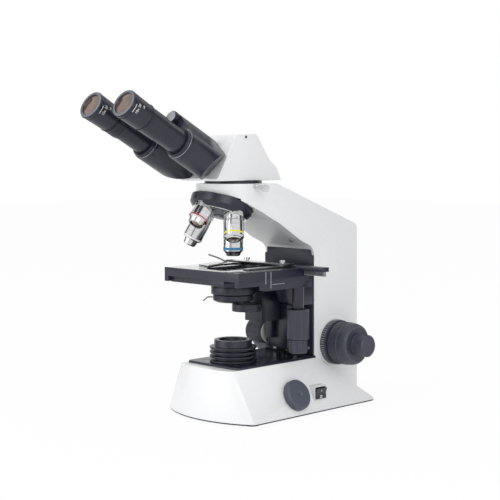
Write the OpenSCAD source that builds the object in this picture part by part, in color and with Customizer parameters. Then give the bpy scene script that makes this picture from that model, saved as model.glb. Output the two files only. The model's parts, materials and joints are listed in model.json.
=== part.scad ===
// Binocular compound microscope with a mechanical stage, Abbe condenser and
// built-in lamp. Origin: where the optical axis meets the table. +X is the
// user's right, -Y points to the user, +Z is up. All sizes in millimetres.

/* [Base] */
// Height of the rubber feet
foot_h = 2; // [1.5:0.5:4]
// Radius of each rubber foot
foot_r = 9; // [7:0.5:11]
// Height of the top of the cover plate above the table
cover_top_z = 61.5; // [58:0.5:64]
// Thickness of the black cover plate
cover_t = 2.5; // [2:0.5:4]
// Half width of the cover plate
cover_half_w = 41.5; // [40.5:0.5:43]
// Half width of the base
base_half_w = 70; // [69:0.5:73]
// Distance from the optical axis to the front of the base
base_front = 56; // [54:0.5:60]
// Wall of the base casting
base_wall = 3; // [2.5:0.5:4]

/* [Column and arm] */
// Half width of the column and arm
column_half_w = 39.5; // [39:0.25:40]
// Distance from the optical axis to the front of the column
column_front = 95; // [94:0.5:97]
// Distance from the optical axis to the back of the column
column_back = 173; // [171:1:178]
// Height of the flat top of the arm
arm_top_z = 265.4; // [265.4:0.2:267]
// Radius of the rounded nose over the objectives
nose_r = 43; // [41:0.5:44]
// Wall of the hollow column
column_wall = 6; // [5:0.5:7]
// Thickness of the black front panel of the column
panel_t = 2.5; // [2:0.25:4]

/* [Head] */
// Tilt of the eyepiece tubes above the horizontal, in degrees
tube_tilt = 28; // [28:0.5:30]
// Height at which the hinge axis crosses the optical axis
hinge_z = 288.9; // [288:0.1:290]
// Distance between the two eyepiece axes
eye_distance = 55; // [54:0.5:56]
// Distance from the hinge axis down to the plane of the tube axes
tube_drop = 31.4; // [31:0.2:33]
// Half width of the head housing
head_half_w = 30; // [28:0.5:32]
// Distance along the hinge from the optical axis to the eyepiece rim
eye_rim_w = 191; // [188:1:196]
// Radius of the eyepieces
eyepiece_r = 15.9; // [15.5:0.1:16.5]
// Length of the eyepiece heads
eyepiece_len = 32; // [31:0.5:34]

/* [Nosepiece] */
// Tilt of the nosepiece axis from the vertical, in degrees
nose_tilt = 20; // [19:0.5:21]
// Height of the shoulder of the working objective
shoulder_z = 226.7; // [226:0.2:228]
// Radius of the circle of objectives
objective_circle_r = 22; // [21.5:0.25:22.5]
// Outer radius of the grip ring
grip_r = 36; // [35:0.5:37]
// Shoulder to front face of the 40x and 100x objectives
long_objective_len = 44.6; // [44:0.1:45]
// Shoulder to front face of the 10x objective
mid_objective_len = 35; // [32:0.5:36]
// Shoulder to front face of the 4x objective
short_objective_len = 28; // [26:0.5:30]
// Barrel radius of the objectives
objective_r = 11.4; // [11:0.1:12]

/* [Stage] */
// Height of the stage surface at rest
stage_top_z = 168.7; // [168:0.1:169]
// Half width of the stage
stage_half_w = 61; // [60:0.5:63]
// Distance from the optical axis to the front edge of the stage
stage_front = 51; // [49:1:53]
// Distance from the optical axis to the rear edge of the stage
stage_rear = 62; // [61:0.5:64]
// Thickness of the moving stage plate
stage_t = 10; // [9.5:0.25:10.5]
// Thickness of the fixed plate below it
lower_stage_t = 6.4; // [6:0.2:7]
// Length of the specimen slide bar
slide_bar_len = 158; // [156:1:162]
// Radius of the Y knob
y_knob_r = 12.6; // [12:0.2:13]
// Radius of the X knob
x_knob_r = 10.6; // [10:0.2:12]

/* [Condenser] */
// Outer radius of the condenser carrier ring
carrier_ring_r = 25.4; // [25:0.2:26]
// Radius of the iris ring
iris_ring_r = 23.2; // [22.5:0.1:24]
// Radius of the condenser top lens mount
top_lens_r = 14; // [13:0.25:14.5]
// Outer radius of the swing-out filter holder
filter_ring_r = 17; // [16.5:0.25:17.5]
// Radius of the filter that the holder and the collector take
filter_r = 16.25; // [15.5:0.05:16.25]
// Radius of the condenser height knob
condenser_knob_r = 14; // [13:0.5:15]

/* [Focus drive] */
// Height of the focus shaft
focus_z = 74.3; // [74:0.1:75]
// Distance from the optical axis to the focus shaft
focus_y = 129; // [128.5:0.5:130]
// Radius of the coarse knobs
coarse_r = 25; // [24:0.5:26]
// Radius of the fine knobs
fine_r = 12.9; // [12:0.1:14]
// Length of the coarse knobs
coarse_len = 26.9; // [25:0.1:28]
// Length of the fine knobs
fine_len = 17.2; // [15:0.1:19]

/* [Hidden] */
$fn = 96;
eps = 0.01;
lip = 0.5;
gap = 0.3;
running = 0.06;

// ---- small helpers ----

// Points of an arc from angle a0 to a1 around (cx, cy)
function arc(cx, cy, r, a0, a1, n = 8) =
    [for (i = [0:n]) let (a = a0 + (a1 - a0) * i / n) [cx + r * cos(a), cy + r * sin(a)]];

// Box given by its lowest and highest corners
module box(lo, hi) {
    translate(lo) cube(hi - lo);
}

// Extrudes a (Y, Z) outline along X between x0 and x1
module extrude_x(x0, x1) {
    translate([x0, 0, 0]) rotate([90, 0, 90]) linear_extrude(x1 - x0) children();
}

// Cylinder along +X starting at x0
module rod_x(x0, x1, y, z, r) {
    translate([x0, y, z]) rotate([0, 90, 0]) cylinder(h = x1 - x0, r = r);
}

// Turns a profile drawn in (radius, height) about the +X axis through (y, z)
module turn_x(x0, y, z) {
    translate([x0, y, z]) rotate([0, 90, 0]) rotate_extrude() children();
}

// Tube along +Z
module tube(z0, z1, r_out, r_in) {
    translate([0, 0, z0]) difference() {
        cylinder(h = z1 - z0, r = r_out);
        translate([0, 0, -eps]) cylinder(h = z1 - z0 + 2 * eps, r = r_in);
    }
}

// Outline of a spur gear with straight flanks and running backlash
module gear_outline(teeth, m) {
    pitch_r = m * teeth / 2;
    step = 360 / teeth;
    polygon([for (i = [0:teeth - 1], k = [[-0.3, -1.1], [-0.12, 0.75], [0.12, 0.75], [0.3, -1.1]])
        let (a = (i + k[0]) * step, r = pitch_r + k[1] * m) [r * cos(a), r * sin(a)]]);
}

// Outline of rack teeth along +X, tooth gap centred on 0, tips towards +Y
module rack_outline(count, m, back) {
    pitch = PI * m;
    polygon(concat([for (i = [0:count - 1], k = [[0.2, -1.1], [0.4, 0.75], [0.6, 0.75], [0.8, -1.1]])
        [(i + k[0] - count / 2) * pitch, k[1] * m]],
        [[count / 2 * pitch, -back], [-count / 2 * pitch, -back]]));
}

// ---- driving heights and planes derived from the sizes above ----

bottom_plate_t = 1.6;
shell_z = foot_h + bottom_plate_t;
cover_z = cover_top_z - cover_t;
rim_side = 1.3;
flank_slope = (base_half_w - cover_half_w - rim_side) / (cover_z - shell_z);
flank_angle = atan(flank_slope);
panel_y = column_front - panel_t;

// ---- base ----

front_arc_r = 130;
corner_r = 5;
rear_corner_r = 6;

// Plan of the base, inset by d all round: bowed front, straight sides, rounded corners
module base_plan(d = 0) {
    cx = base_half_w - corner_r;
    reach = front_arc_r - corner_r;
    turn = asin(cx / reach);
    step = (90 - turn) / 4;
    cy = front_arc_r - base_front - sqrt(reach * reach - cx * cx);
    rear_x = base_half_w - rear_corner_r;
    rear_y = column_back - rear_corner_r;
    polygon(concat(
        arc(0, front_arc_r - base_front, front_arc_r - d, 270 - turn, 270 + turn, 12),
        arc(cx, cy, corner_r - d, turn - 90 + step, 0, 3),
        arc(rear_x, rear_y, rear_corner_r - d, 0, 90, 3),
        arc(-rear_x, rear_y, rear_corner_r - d, 90, 180, 3),
        arc(-cx, cy, corner_r - d, 180, 270 - turn - step, 3)));
}

cover_front = 33.2;
cover_corner_r = 5;

// Plan of the cover, grown by d all round
module cover_plan(d = 0, rear = column_front) {
    cx = cover_half_w - cover_corner_r;
    cy = cover_corner_r - cover_front;
    polygon(concat(
        [[-cover_half_w - d, rear]],
        arc(-cx, cy, cover_corner_r + d, 180, 270, 4),
        arc(cx, cy, cover_corner_r + d, 270, 360, 4),
        [[cover_half_w + d, rear]]));
}

base_shoulder_y = 145;
base_shoulder_z = 28.5;
base_tail_z = 15;
base_edge_z = 7;
column_foot_z = 8;

rim_front = 47;
rim_corner_y = 41;
rim_facet_x = 32;

// Upper edge of the base: a ledge in front of the cover with faceted corners
module rim_plan(d = 0) {
    half = cover_half_w + rim_side - d;
    polygon([[-half, column_front - d], [-half, d - rim_corner_y], [d / 2 - rim_facet_x, d - rim_front],
        [0, d - rim_front - 1.5], [rim_facet_x - d / 2, d - rim_front], [half, d - rim_corner_y],
        [half, column_front - d]]);
}

// Solid outer or inner form of the base, inset by d
module base_form(d, z0) {
    hull() {
        translate([0, 0, z0]) linear_extrude(lip) base_plan(d);
        translate([0, 0, cover_z - d - lip]) linear_extrude(lip) rim_plan(d);
        for (s = [-1, 1]) {
            translate([s * (column_half_w - d - lip / 2), base_shoulder_y - d, base_shoulder_z - d])
                cube(lip, center = true);
            translate([s * (column_half_w - d - lip / 2), column_back - d - lip / 2, base_tail_z - d])
                cube(lip, center = true);
            translate([s * (flank_x(base_edge_z) - d - lip / 2), column_back - rear_corner_r - d,
                base_edge_z - d]) cube(lip, center = true);
        }
    }
}

// Column footprint cut out of the base, with clearance
module column_pocket() {
    box([-column_half_w - eps, column_front - eps, column_foot_z],
        [column_half_w + eps, column_back + 1, cover_top_z + 1]);
}

knob_y = 39;
knob_base_z = 23.5;
switch_y = 78;
switch_z = 23;

// Distance from the middle plane to the right flank at height z
function flank_x(z) = base_half_w - (z - shell_z) * flank_slope;

// Places children on the right flank of the base with +Z as its outward normal
// and +X up the slope
module on_flank(y, z) {
    translate([flank_x(z), y, z]) rotate([0, 90 - flank_angle, 0]) mirror([1, 0, 0])
        mirror([0, 1, 0]) children();
}

switch_w = 21;
switch_h = 16.5;
switch_depth = 16;
spindle_r = 3;
switch_x = flank_x(switch_z - switch_h / 2) - 0.7;

// Upright switch bezel: +Z points out of the base, +X down
module on_switch() {
    translate([switch_x, switch_y, switch_z]) rotate([0, 90, 0]) children();
}

module base_shell() {
    color("#e4e5e2") difference() {
        base_form(0, shell_z);
        base_form(base_wall, shell_z - 1);
        column_pocket();
        translate([0, 0, cover_z - 2 * base_wall]) linear_extrude(3 * base_wall)
            cover_plan(-base_wall, column_front + 1);
        on_flank(knob_y, knob_base_z)
            translate([0, 0, -2 * base_wall]) cylinder(h = 4 * base_wall, r = spindle_r + 1, $fn = 32);
        on_switch()
            box([-switch_h / 2, -switch_w / 2, -switch_depth - 1], [switch_h / 2, switch_w / 2, 20]);
    }
}

module bottom_plate() {
    color("#3a3b40") translate([0, 0, foot_h]) linear_extrude(bottom_plate_t) base_plan(0.8);
}

foot_front_y = -24.5;

module rubber_feet() {
    inset = 4;
    x = base_half_w - foot_r - inset - 2.5;
    color("#26262a") for (s = [-1, 1], y = [foot_front_y, column_back - foot_r - inset])
        translate([s * x, y, 0]) cylinder(h = foot_h, r = foot_r);
}

lamp_bore_r = 15;

module cover_plate() {
    lean = 0.8;
    color("#303138") difference() {
        hull() {
            translate([0, 0, cover_z]) linear_extrude(lip) cover_plan(lean);
            translate([0, 0, cover_top_z - lip]) linear_extrude(lip) cover_plan(0);
        }
        translate([0, 0, cover_z - 1]) cylinder(h = cover_t + 2, r = lamp_bore_r);
    }
}

// ---- lamp ----

collector_top_z = 86.5;
collector_top_r = 21.8;
collector_fin_r = 27;
collector_fins = 4;
collector_seat_depth = 4;

module collector_housing() {
    fin_step = 5;
    fin_t = 2.4;
    seat_z = collector_top_z - collector_seat_depth;
    color("#35363d") difference() {
        union() {
            translate([0, 0, cover_top_z])
                cylinder(h = collector_top_z - cover_top_z, r = collector_top_r);
            for (i = [0:collector_fins - 1])
                translate([0, 0, cover_top_z + i * fin_step]) cylinder(h = fin_t, r = collector_fin_r);
        }
        translate([0, 0, seat_z]) cylinder(h = collector_seat_depth + 1, r = filter_r);
        translate([0, 0, cover_top_z - 1]) cylinder(h = collector_top_z, r = lamp_bore_r);
    }
}

lens_seat_z = 68;

module field_lens() {
    color("#cfd8dc") translate([0, 0, lens_seat_z]) rotate_extrude()
        polygon(concat([[0, 0], [lamp_bore_r, 0], [lamp_bore_r, 4]], arc(0, -20.5, 28.7, 58.5, 90, 10)));
}

module led_module() {
    sink_r = 22;
    fin_w = 2;
    fin_step = 6;
    sink_z = 36;
    color("#9a9ca0") {
        translate([0, 0, cover_z - 4]) cylinder(h = 4, r = sink_r);
        for (i = [-3:3])
            box([i * fin_step - fin_w / 2, 8 - sink_r, sink_z],
                [i * fin_step + fin_w / 2, sink_r - 8, cover_z - 4 + eps]);
        translate([0, 0, cover_z]) cylinder(h = 2.5, r = 6);
    }
}

board_z = shell_z + 5;

module driver_board() {
    half_w = 28;
    y0 = 30;
    y1 = 78;
    top = board_z + 1.6;
    color("#2f6b3f") box([-half_w, y0, board_z], [half_w, y1, top]);
    color("#3a3b40") for (s = [-1, 1], y = [y0 + 5, y1 - 5])
        translate([s * (half_w - 6), y, shell_z]) cylinder(h = board_z - shell_z, r = 3);
    color("#222222") {
        box([8 - half_w, y0 + 10, top], [2, y0 + 30, top + 13.4]);
        translate([half_w / 2, y0 + 18, top]) cylinder(h = 16, r = 6);
        translate([half_w / 2, y0 + 34, top]) cylinder(h = 12, r = 4);
    }
}

inlet_z = 36;
inlet_w = 27;
inlet_h = 20;

// Mains inlet in the back wall of the column, with three contact blades set back from its mouth
module power_inlet() {
    flange = 2;
    depth = 16;
    blade_recess = 3;
    color("#26262a") difference() {
        union() {
            box([-inlet_w / 2 + gap, column_back - depth, inlet_z - inlet_h / 2 + gap],
                [inlet_w / 2 - gap, column_back + flange, inlet_z + inlet_h / 2 - gap]);
            box([-inlet_w / 2 - 2, column_back, inlet_z - inlet_h / 2 - 2],
                [inlet_w / 2 + 2, column_back + flange, inlet_z + inlet_h / 2 + 2]);
        }
        box([-inlet_w / 2 + 2.5, column_back - depth + 2, inlet_z - inlet_h / 2 + 2.5],
            [inlet_w / 2 - 2.5, column_back + flange + 1, inlet_z + inlet_h / 2 - 2.5]);
    }
    color("silver") for (p = [[-7, -1.5], [0, 2], [7, -1.5]])
        box([p[0] - 1, column_back - depth, inlet_z + p[1] - 2],
            [p[0] + 1, column_back - blade_recess, inlet_z + p[1] + 2]);
}

// ---- switch and brightness knob on the right flank ----

rocker_tilt = 7;
rocker_len = 13;
rocker_w = 17;
rocker_pin_r = 1.2;
rocker_pin_z = -1.6;

module switch_frame() {
    rim = 1.6;
    fit = 0.2;
    color("#d8dadb") on_switch() difference() {
        box([fit - switch_h / 2, fit - switch_w / 2, -switch_depth],
            [switch_h / 2 - fit, switch_w / 2 - fit, 1]);
        box([-rocker_len / 2 - gap, -switch_w / 2 + rim, -switch_depth + rim],
            [rocker_len / 2 + gap, switch_w / 2 - rim, 2]);
        rocker_pin(rocker_pin_r + running, rocker_w + 2.4);
    }
}

// Pin across the switch, level with the rocker's pivot
module rocker_pin(r, len) {
    translate([0, 0, rocker_pin_z]) rotate([90, 0, 0]) cylinder(h = len, r = r, center = true);
}

// Rocker with a shallow V face, tipped on two short pins in the bezel's side walls
module rocker() {
    half = rocker_len / 2 - 0.4;
    color("#202126") on_switch() {
        translate([0, 0, rocker_pin_z]) rotate([0, rocker_tilt, 0]) rotate([90, 0, 0])
            linear_extrude(rocker_w, center = true)
                polygon([[-half, 4.6], [0, 3.4], [half, 4.6], [half - 0.6, -0.8], [2.5, -4.4],
                    [-2.5, -4.4], [0.6 - half, -0.8]]);
        rocker_pin(rocker_pin_r, rocker_w + 2);
    }
}

knob_r = 17.6;
knob_h = 8.2;

module brightness_knob() {
    ribs = 36;
    stand = 1.2;
    color("#585c68") on_flank(knob_y, knob_base_z) {
        difference() {
            translate([0, 0, stand]) rotate_extrude()
                polygon([[0, 0], [knob_r, 0], [knob_r - 0.4, knob_h - 2], [knob_r - 2.2, knob_h],
                    [0, knob_h]]);
            for (i = [0:ribs - 1]) rotate([0, 0, i * 360 / ribs])
                translate([knob_r + 0.25, 0, stand - 1]) cylinder(h = knob_h - 1, r = 0.7, $fn = 16);
            translate([0, 0, knob_h + stand + 5]) sphere(r = 6.5);
        }
        translate([0, 0, -12]) cylinder(h = 12 + stand + eps, r = spindle_r);
    }
}

// ---- column and arm ----

nose_top = 13;
grip_clear = 1;
under_front_z = 256.2;
arm_back_z = 211;
arm_knee_y = 32;
head_bore_r = 19.08;
light_r = 9;

// Side outline of the column and arm in (Y, Z)
module arm_outline() {
    fillet = 15;
    polygon(concat(
        [[column_front, column_foot_z], [column_back, column_foot_z]],
        arc(column_back - 8, arm_back_z - 3, 8, 0, 68, 5),
        [[arm_knee_y, arm_top_z], [-nose_r, arm_top_z], [-nose_r, under_front_z],
            [-9.8, 240.6], [4.5, 234.5], [37, 219], [71, 198.7]],
        arc(column_front - fillet, 178.6, fillet, 58, 0, 5)));
}

// Hollow inside the column and arm in (Y, Z)
module arm_hollow() {
    w = column_wall;
    polygon([[column_front + w, -1], [column_back - w, -1], [column_back - w, arm_back_z - w],
        [arm_knee_y + 8, arm_top_z - w - 4], [arm_knee_y, arm_top_z - w - 4], [arm_knee_y, 230],
        [80, 201], [column_front + w, 186]]);
}

// Frame of the revolving nosepiece: +Z up its tilted axis, origin in the
// plane of the objective shoulders
module on_nosepiece() {
    translate([0, -objective_circle_r * cos(nose_tilt), shoulder_z + objective_circle_r * sin(nose_tilt)])
        rotate([-nose_tilt, 0, 0]) children();
}

// Frame of one objective: shoulder at z = 0, front lens towards -Z
module on_objective(turn) {
    on_nosepiece() rotate([0, 0, turn]) translate([0, objective_circle_r, 0])
        rotate([nose_tilt, 0, 0]) children();
}

rack_slot_half_w = 6.5;
rack_slot_z0 = 46;
rack_slot_z1 = 106;
focus_boss_r = 28.5;
focus_boss_x = column_half_w + 2;
bushing_r = 9;
lock_shank_r = 1.2;
lock_shank_len = 5;
lock_azimuth = -5;
lock_z = 263.3;
lock_drop = 9;

// Frame of the head's clamp screw: +Z out of the arm's right side
module on_lock_screw() {
    rotate([0, 0, lock_azimuth]) translate([column_half_w, 0, lock_z]) rotate([0, 90 + lock_drop, 0])
        children();
}

module arm_column() {
    color("#e3e4e1") difference() {
        union() {
            intersection() {
                extrude_x(-column_half_w, column_half_w) arm_outline();
                union() {
                    cylinder(h = arm_top_z + 1, r = nose_r);
                    box([-column_half_w, 0, 0], [column_half_w, column_back + 1, arm_top_z + 1]);
                }
            }
            rod_x(-focus_boss_x, focus_boss_x, focus_y, focus_z, focus_boss_r);
        }
        extrude_x(-column_half_w + column_wall, column_half_w - column_wall) arm_hollow();
        on_nosepiece() translate([0, 0, -30]) cylinder(h = 30 + nose_top, r = grip_r + grip_clear);
        cylinder(h = arm_top_z + 1, r = light_r);
        translate([0, 0, arm_top_z - 6]) cylinder(h = 7, r = head_bore_r + 1);
        rod_x(-focus_boss_x - 1, focus_boss_x + 1, focus_y, focus_z, bushing_r);
        box([-rack_slot_half_w, column_front - 1, rack_slot_z0],
            [rack_slot_half_w, column_front + column_wall + 1, rack_slot_z1]);
        box([-inlet_w / 2, column_back - column_wall - 1, inlet_z - inlet_h / 2],
            [inlet_w / 2, column_back + 1, inlet_z + inlet_h / 2]);
        on_lock_screw() translate([0, 0, -lock_shank_len - 0.5])
            cylinder(h = lock_shank_len + 5, r = lock_shank_r + running);
    }
}

panel_top_z = 189;
panel_step_z = 179.5;

module column_panel() {
    inset = 3.5;
    color("#303138") difference() {
        union() {
            box([-column_half_w, panel_y, cover_top_z], [column_half_w, column_front, panel_step_z]);
            box([inset - column_half_w, panel_y, panel_step_z - eps],
                [column_half_w - inset, column_front, panel_top_z]);
        }
        box([-rack_slot_half_w, panel_y - 1, cover_top_z - 1],
            [rack_slot_half_w, column_front + 1, rack_slot_z1]);
        extrude_x(-column_half_w - 1, column_half_w + 1) arm_outline();
    }
}

rail_x0 = 14.7;
rail_x1 = 20;
rail_depth = 5.5;
rail_z0 = 64;
rail_z1 = 166;

// Pair of hardened guide rails screwed to the panel
module slide_rails() {
    color("#8e9094") for (s = [-1, 1])
        translate([s * (rail_x0 + rail_x1) / 2, panel_y - rail_depth / 2, (rail_z0 + rail_z1) / 2])
            cube([rail_x1 - rail_x0, rail_depth, rail_z1 - rail_z0], center = true);
}

// Clip under the arm that keeps the stage away from the objectives
module limit_stop() {
    stop_at = [28, 69, 199.6];
    lean = -31;
    color("#303138") difference() {
        translate(stop_at) rotate([lean, 0, 0]) cylinder(h = 6, r = 3, center = true);
        extrude_x(0, column_half_w) arm_outline();
        box([0, panel_y, cover_top_z], [column_half_w, column_front, panel_top_z]);
    }
}

seat_r = 33;
seat_h = 3.1;
head_z = arm_top_z + seat_h + gap;

module head_seat() {
    color("#1f2024") translate([0, 0, arm_top_z]) tube(0, seat_h, seat_r, head_bore_r + 1);
    color("#1f2024") translate([0, 0, arm_top_z - 6]) tube(0, 6 + seat_h, head_bore_r + 1, head_bore_r);
}

lock_head_r = 4.3;
lock_len = 20;

module head_lock_screw() {
    color("#b9bbbd") on_lock_screw() {
        translate([0, 0, -lock_shank_len]) cylinder(h = lock_shank_len + 3, r = lock_shank_r);
        translate([0, 0, 1.2]) cylinder(h = 3, r = 3);
        translate([0, 0, 4.1]) cylinder(h = lock_len - 6, r1 = 2.4, r2 = lock_head_r - 0.6);
        translate([0, 0, lock_len - 4]) cylinder(h = 4, r = lock_head_r);
    }
}

// ---- nosepiece and objectives ----

turret_plate_z = 8;
pin_r = 5;
port_r = 10.2;

module nosepiece_seat() {
    color("#6d6e72") difference() {
        on_nosepiece() {
            translate([0, 0, turret_plate_z + gap])
                cylinder(h = nose_top - turret_plate_z - gap, r = grip_r - 5);
            translate([0, 0, -7]) cylinder(h = turret_plate_z + 8, r = pin_r);
            translate([0, 0, -8.4]) cylinder(h = 1.9, r = 6.6);
        }
        cylinder(h = arm_top_z, r = light_r);
    }
}

turns = [180, -90, 0, 90];

module nosepiece_turret() {
    inner = grip_r - 4.7;
    boss_proud = 0.6;
    bore = pin_r + running;
    t = tan(nose_tilt);
    color("#34353c") difference() {
        union() {
            on_nosepiece() rotate_extrude() polygon([
                [bore, (bore - objective_circle_r) * t], [inner - 1, (inner - 1 - objective_circle_r) * t],
                [inner - 1, -2.6], [inner, -3], [grip_r, 3], [grip_r, nose_top - 1.7],
                [grip_r - 0.8, nose_top - 0.9], [inner, nose_top - 0.9],
                [inner, turret_plate_z], [bore, turret_plate_z]]);
            intersection() {
                for (a = turns) on_objective(a) translate([0, 0, -boss_proud])
                    cylinder(h = 9 + boss_proud, r = objective_r + 1.6);
                on_nosepiece() tube(-9, turret_plate_z, inner, bore);
            }
        }
        for (a = turns) on_objective(a) {
            translate([0, 0, -6]) cylinder(h = 30, r = port_r);
            translate([0, 0, -20]) cylinder(h = 20, r = objective_r + 0.5);
        }
    }
}

objective_bore_r = 6;

// Objective barrel: threaded neck above the shoulder, knurled collar, main
// barrel, waist for the colour ring and a stepped nose; lens bore from below
module objective(len, nose_len, nose_r, lens_r) {
    r = objective_r;
    barrel_end = len - nose_len;
    rotate_extrude() polygon([
        [objective_bore_r, 4], [port_r - running, 4], [port_r - running, 0], [r, 0], [r, -3],
        [r - 0.5, -3.6], [r - 0.5, 3.2 - barrel_end / 2], [r, 2.6 - barrel_end / 2],
        [r, 1.5 - barrel_end], [r - 1.5, -barrel_end], [nose_r + 1, -barrel_end], [nose_r, 1 - len],
        [nose_r - 1, -len], [lens_r, -len], [objective_bore_r, 3 - len]]);
}

objective_nose_r = 8.2;

module objective_4x() {
    color("#c9cbcc") on_objective(turns[0])
        objective(short_objective_len, 5.2, objective_nose_r + 0.6, 6.5);
}

module objective_10x() {
    color("#c9cbcc") on_objective(turns[1])
        objective(mid_objective_len, 1.6, objective_nose_r + 0.7, 6.5);
}

module objective_40x() {
    color("#c9cbcc") on_objective(turns[2])
        objective(long_objective_len, 4.4, objective_nose_r, 3);
}

module objective_100x() {
    color("#c9cbcc") on_objective(turns[3])
        objective(long_objective_len, 7, objective_nose_r - 1, 2.5);
}

// Front lenses, set in the bores of the four objectives
module objective_lenses() {
    lens_t = 2;
    color("#cfd8dc") for (i = [0:3]) {
        len = [short_objective_len, mid_objective_len, long_objective_len, long_objective_len][i];
        on_objective(turns[i]) translate([0, 0, 4 - len]) cylinder(h = lens_t, r = objective_bore_r);
    }
}

// ---- head ----

// Side outline of the head housing in (Y, Z)
module head_outline() {
    t = tan(tube_tilt);
    polygon([[-53.6, head_z], [-53.6, head_z + 3.2], [-52, head_z + 3.7], [-24.5, 319], [-22.5, 320.5],
        [7, 321.7], [9.5, 320.5], [30, 292], [41.6, 283], [48.3, head_z + 1.5], [48.3, head_z]]);
}

// Frame of the inclined hinge: +Z towards the user, +Y up
module on_hinge() {
    translate([0, 0, hinge_z]) rotate([90 - tube_tilt, 0, 0]) children();
}

// Frame of one eyepiece tube, side = 1 right, -1 left
module on_tube(side) {
    on_hinge() translate([side * eye_distance / 2, -tube_drop, 0]) children();
}

hinge_pin_r = 5;
hinge_lobe_r = 8;

module head_housing() {
    color("#e6e6e4") difference() {
        union() {
            extrude_x(-head_half_w, head_half_w) head_outline();
            translate([0, 0, head_z - seat_h - 3]) cylinder(h = seat_h + 4, r = head_bore_r - running);
        }
        extrude_x(-head_half_w + 4, head_half_w - 4)
            polygon([[-40, head_z + 4], [-20, 313], [4, 314], [26, 288], [38, 279], [40, head_z + 4]]);
        translate([0, 0, head_z - seat_h - 4]) cylinder(h = 20, r = light_r);
        on_hinge() translate([0, 0, hinge_root_w - 4]) cylinder(h = housing_w0, r = hinge_pin_r);
    }
}

housing_w0 = 40.5;
housing_w1 = 101;
knuckle_split = (housing_w0 + housing_w1) / 2;
hinge_cap_t = 6.6;
hinge_root_w = 14;

module hinge_shaft() {
    color("#7b7d84") on_hinge() {
        translate([0, 0, hinge_root_w])
            cylinder(h = housing_w1 + gap - hinge_root_w + eps, r = hinge_pin_r - running);
        translate([0, 0, housing_w1 + gap]) rotate_extrude()
            polygon([[0, 0], [hinge_lobe_r, 0], [hinge_lobe_r, hinge_cap_t - 0.8],
                [hinge_lobe_r - 0.8, hinge_cap_t], [0, hinge_cap_t]]);
    }
}

housing_r = 18.2;
inner_lean = 7.4;
bevel_w = 48.6;
bevel_slope = 46;
bevel_turn = -33.8;

// Cross-section of the right prism housing around the hinge (origin) and the tube
module housing_section(d = 0) {
    c = [eye_distance / 2, -tube_drop];
    dist = norm(c);
    dir = atan2(c[1], c[0]);
    r1 = hinge_lobe_r - d;
    r2 = housing_r - d;
    tilt = acos((r1 - r2) / dist);
    intersection() {
        union() {
            translate(c) circle(r = r2);
            circle(r = r1);
            polygon([r1 * [cos(dir + tilt), sin(dir + tilt)], c + r2 * [cos(dir + tilt), sin(dir + tilt)],
                c + r2 * [cos(dir - tilt), sin(dir - tilt)], r1 * [cos(dir - tilt), sin(dir - tilt)]]);
        }
        rotate(inner_lean) translate([gap / 2 + d, -90]) square([120, 120]);
    }
}

// Plane of the slanted rear face over the reflecting prism, +Z towards the tube
module rear_bevel() {
    translate([eye_distance / 2, -tube_drop, bevel_w]) rotate([0, 0, bevel_turn])
        rotate([0, -bevel_slope, 0]) children();
}

// Right prism housing with its hinge knuckle between w0 and w1
module prism_housing(w0, w1) {
    wall = 3;
    difference() {
        union() {
            difference() {
                translate([0, 0, housing_w0]) linear_extrude(housing_w1 - housing_w0) housing_section();
                translate([0, 0, housing_w0 - 1]) cylinder(h = 80, r = hinge_lobe_r + gap);
            }
            translate([0, 0, w0]) cylinder(h = w1 - w0, r = hinge_lobe_r);
            translate([0, 0, w0]) linear_extrude(w1 - w0) intersection() {
                housing_section();
                circle(r = hinge_lobe_r + 3);
            }
        }
        translate([0, 0, w0 - 1]) cylinder(h = w1 - w0 + 2, r = hinge_pin_r);
        rear_bevel() translate([-80, -80, -160]) cube(160);
        difference() {
            translate([eye_distance / 2, -tube_drop, housing_w0 + wall])
                cylinder(h = housing_w1 - housing_w0 - 2 * wall, r = housing_r - wall);
            rear_bevel() translate([-80, -80, wall - 160]) cube(160);
            rotate(inner_lean) translate([-120 + wall, -90, 0]) cube([120, 180, 120]);
        }
        translate([eye_distance / 2, -tube_drop, housing_w1 - 2 * wall])
            cylinder(h = 3 * wall, r = tube_bore_r + 1);
    }
}

module right_prism_housing() {
    color("#3b3b44") on_hinge() prism_housing(housing_w0, knuckle_split - gap / 2);
}

module left_prism_housing() {
    color("#3b3b44") on_hinge() mirror([1, 0, 0])
        prism_housing(knuckle_split + gap / 2, housing_w1);
}

tube_bore_r = 11.6;
tube_r = 13.6;
sleeve_outer_r = 14.4;
sleeve_len = 22;
collar_r = 18.2;
collar_h = 7;
diopter_h = 14;
eyepiece_w0 = eye_rim_w - eyepiece_len;
diopter_w1 = eyepiece_w0 - gap;
diopter_w0 = diopter_w1 - diopter_h;

module eye_tube(len, thick_from) {
    color("#404047") translate([0, 0, housing_w1]) difference() {
        union() {
            rotate_extrude() polygon([[0, 0], [collar_r, 0], [collar_r, 2.4], [collar_r - 0.5, 2.8],
                [collar_r - 0.5, 3.6], [collar_r - 1.8, collar_h], [tube_r, collar_h - 0.6],
                [tube_r, len], [0, len]]);
            translate([0, 0, thick_from]) cylinder(h = len - thick_from, r = sleeve_outer_r);
            translate([0, 0, -3]) cylinder(h = 4, r = tube_bore_r + 1);
        }
        translate([0, 0, -4]) cylinder(h = len + 5, r = tube_bore_r);
    }
}

module right_eye_tube() {
    len = eyepiece_w0 - housing_w1;
    on_tube(1) eye_tube(len, len - sleeve_len);
}

// The left tube ends in a thin sleeve that carries the focusing ring
module left_eye_tube() {
    len = diopter_w0 - gap - housing_w1;
    on_tube(-1) eye_tube(len, len - 2);
    color("#404047") on_tube(-1)
        tube(housing_w1 + len - 1, diopter_w1 - 0.3, tube_bore_r + 1.2, tube_bore_r);
}

diopter_r = 14.9;

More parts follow.
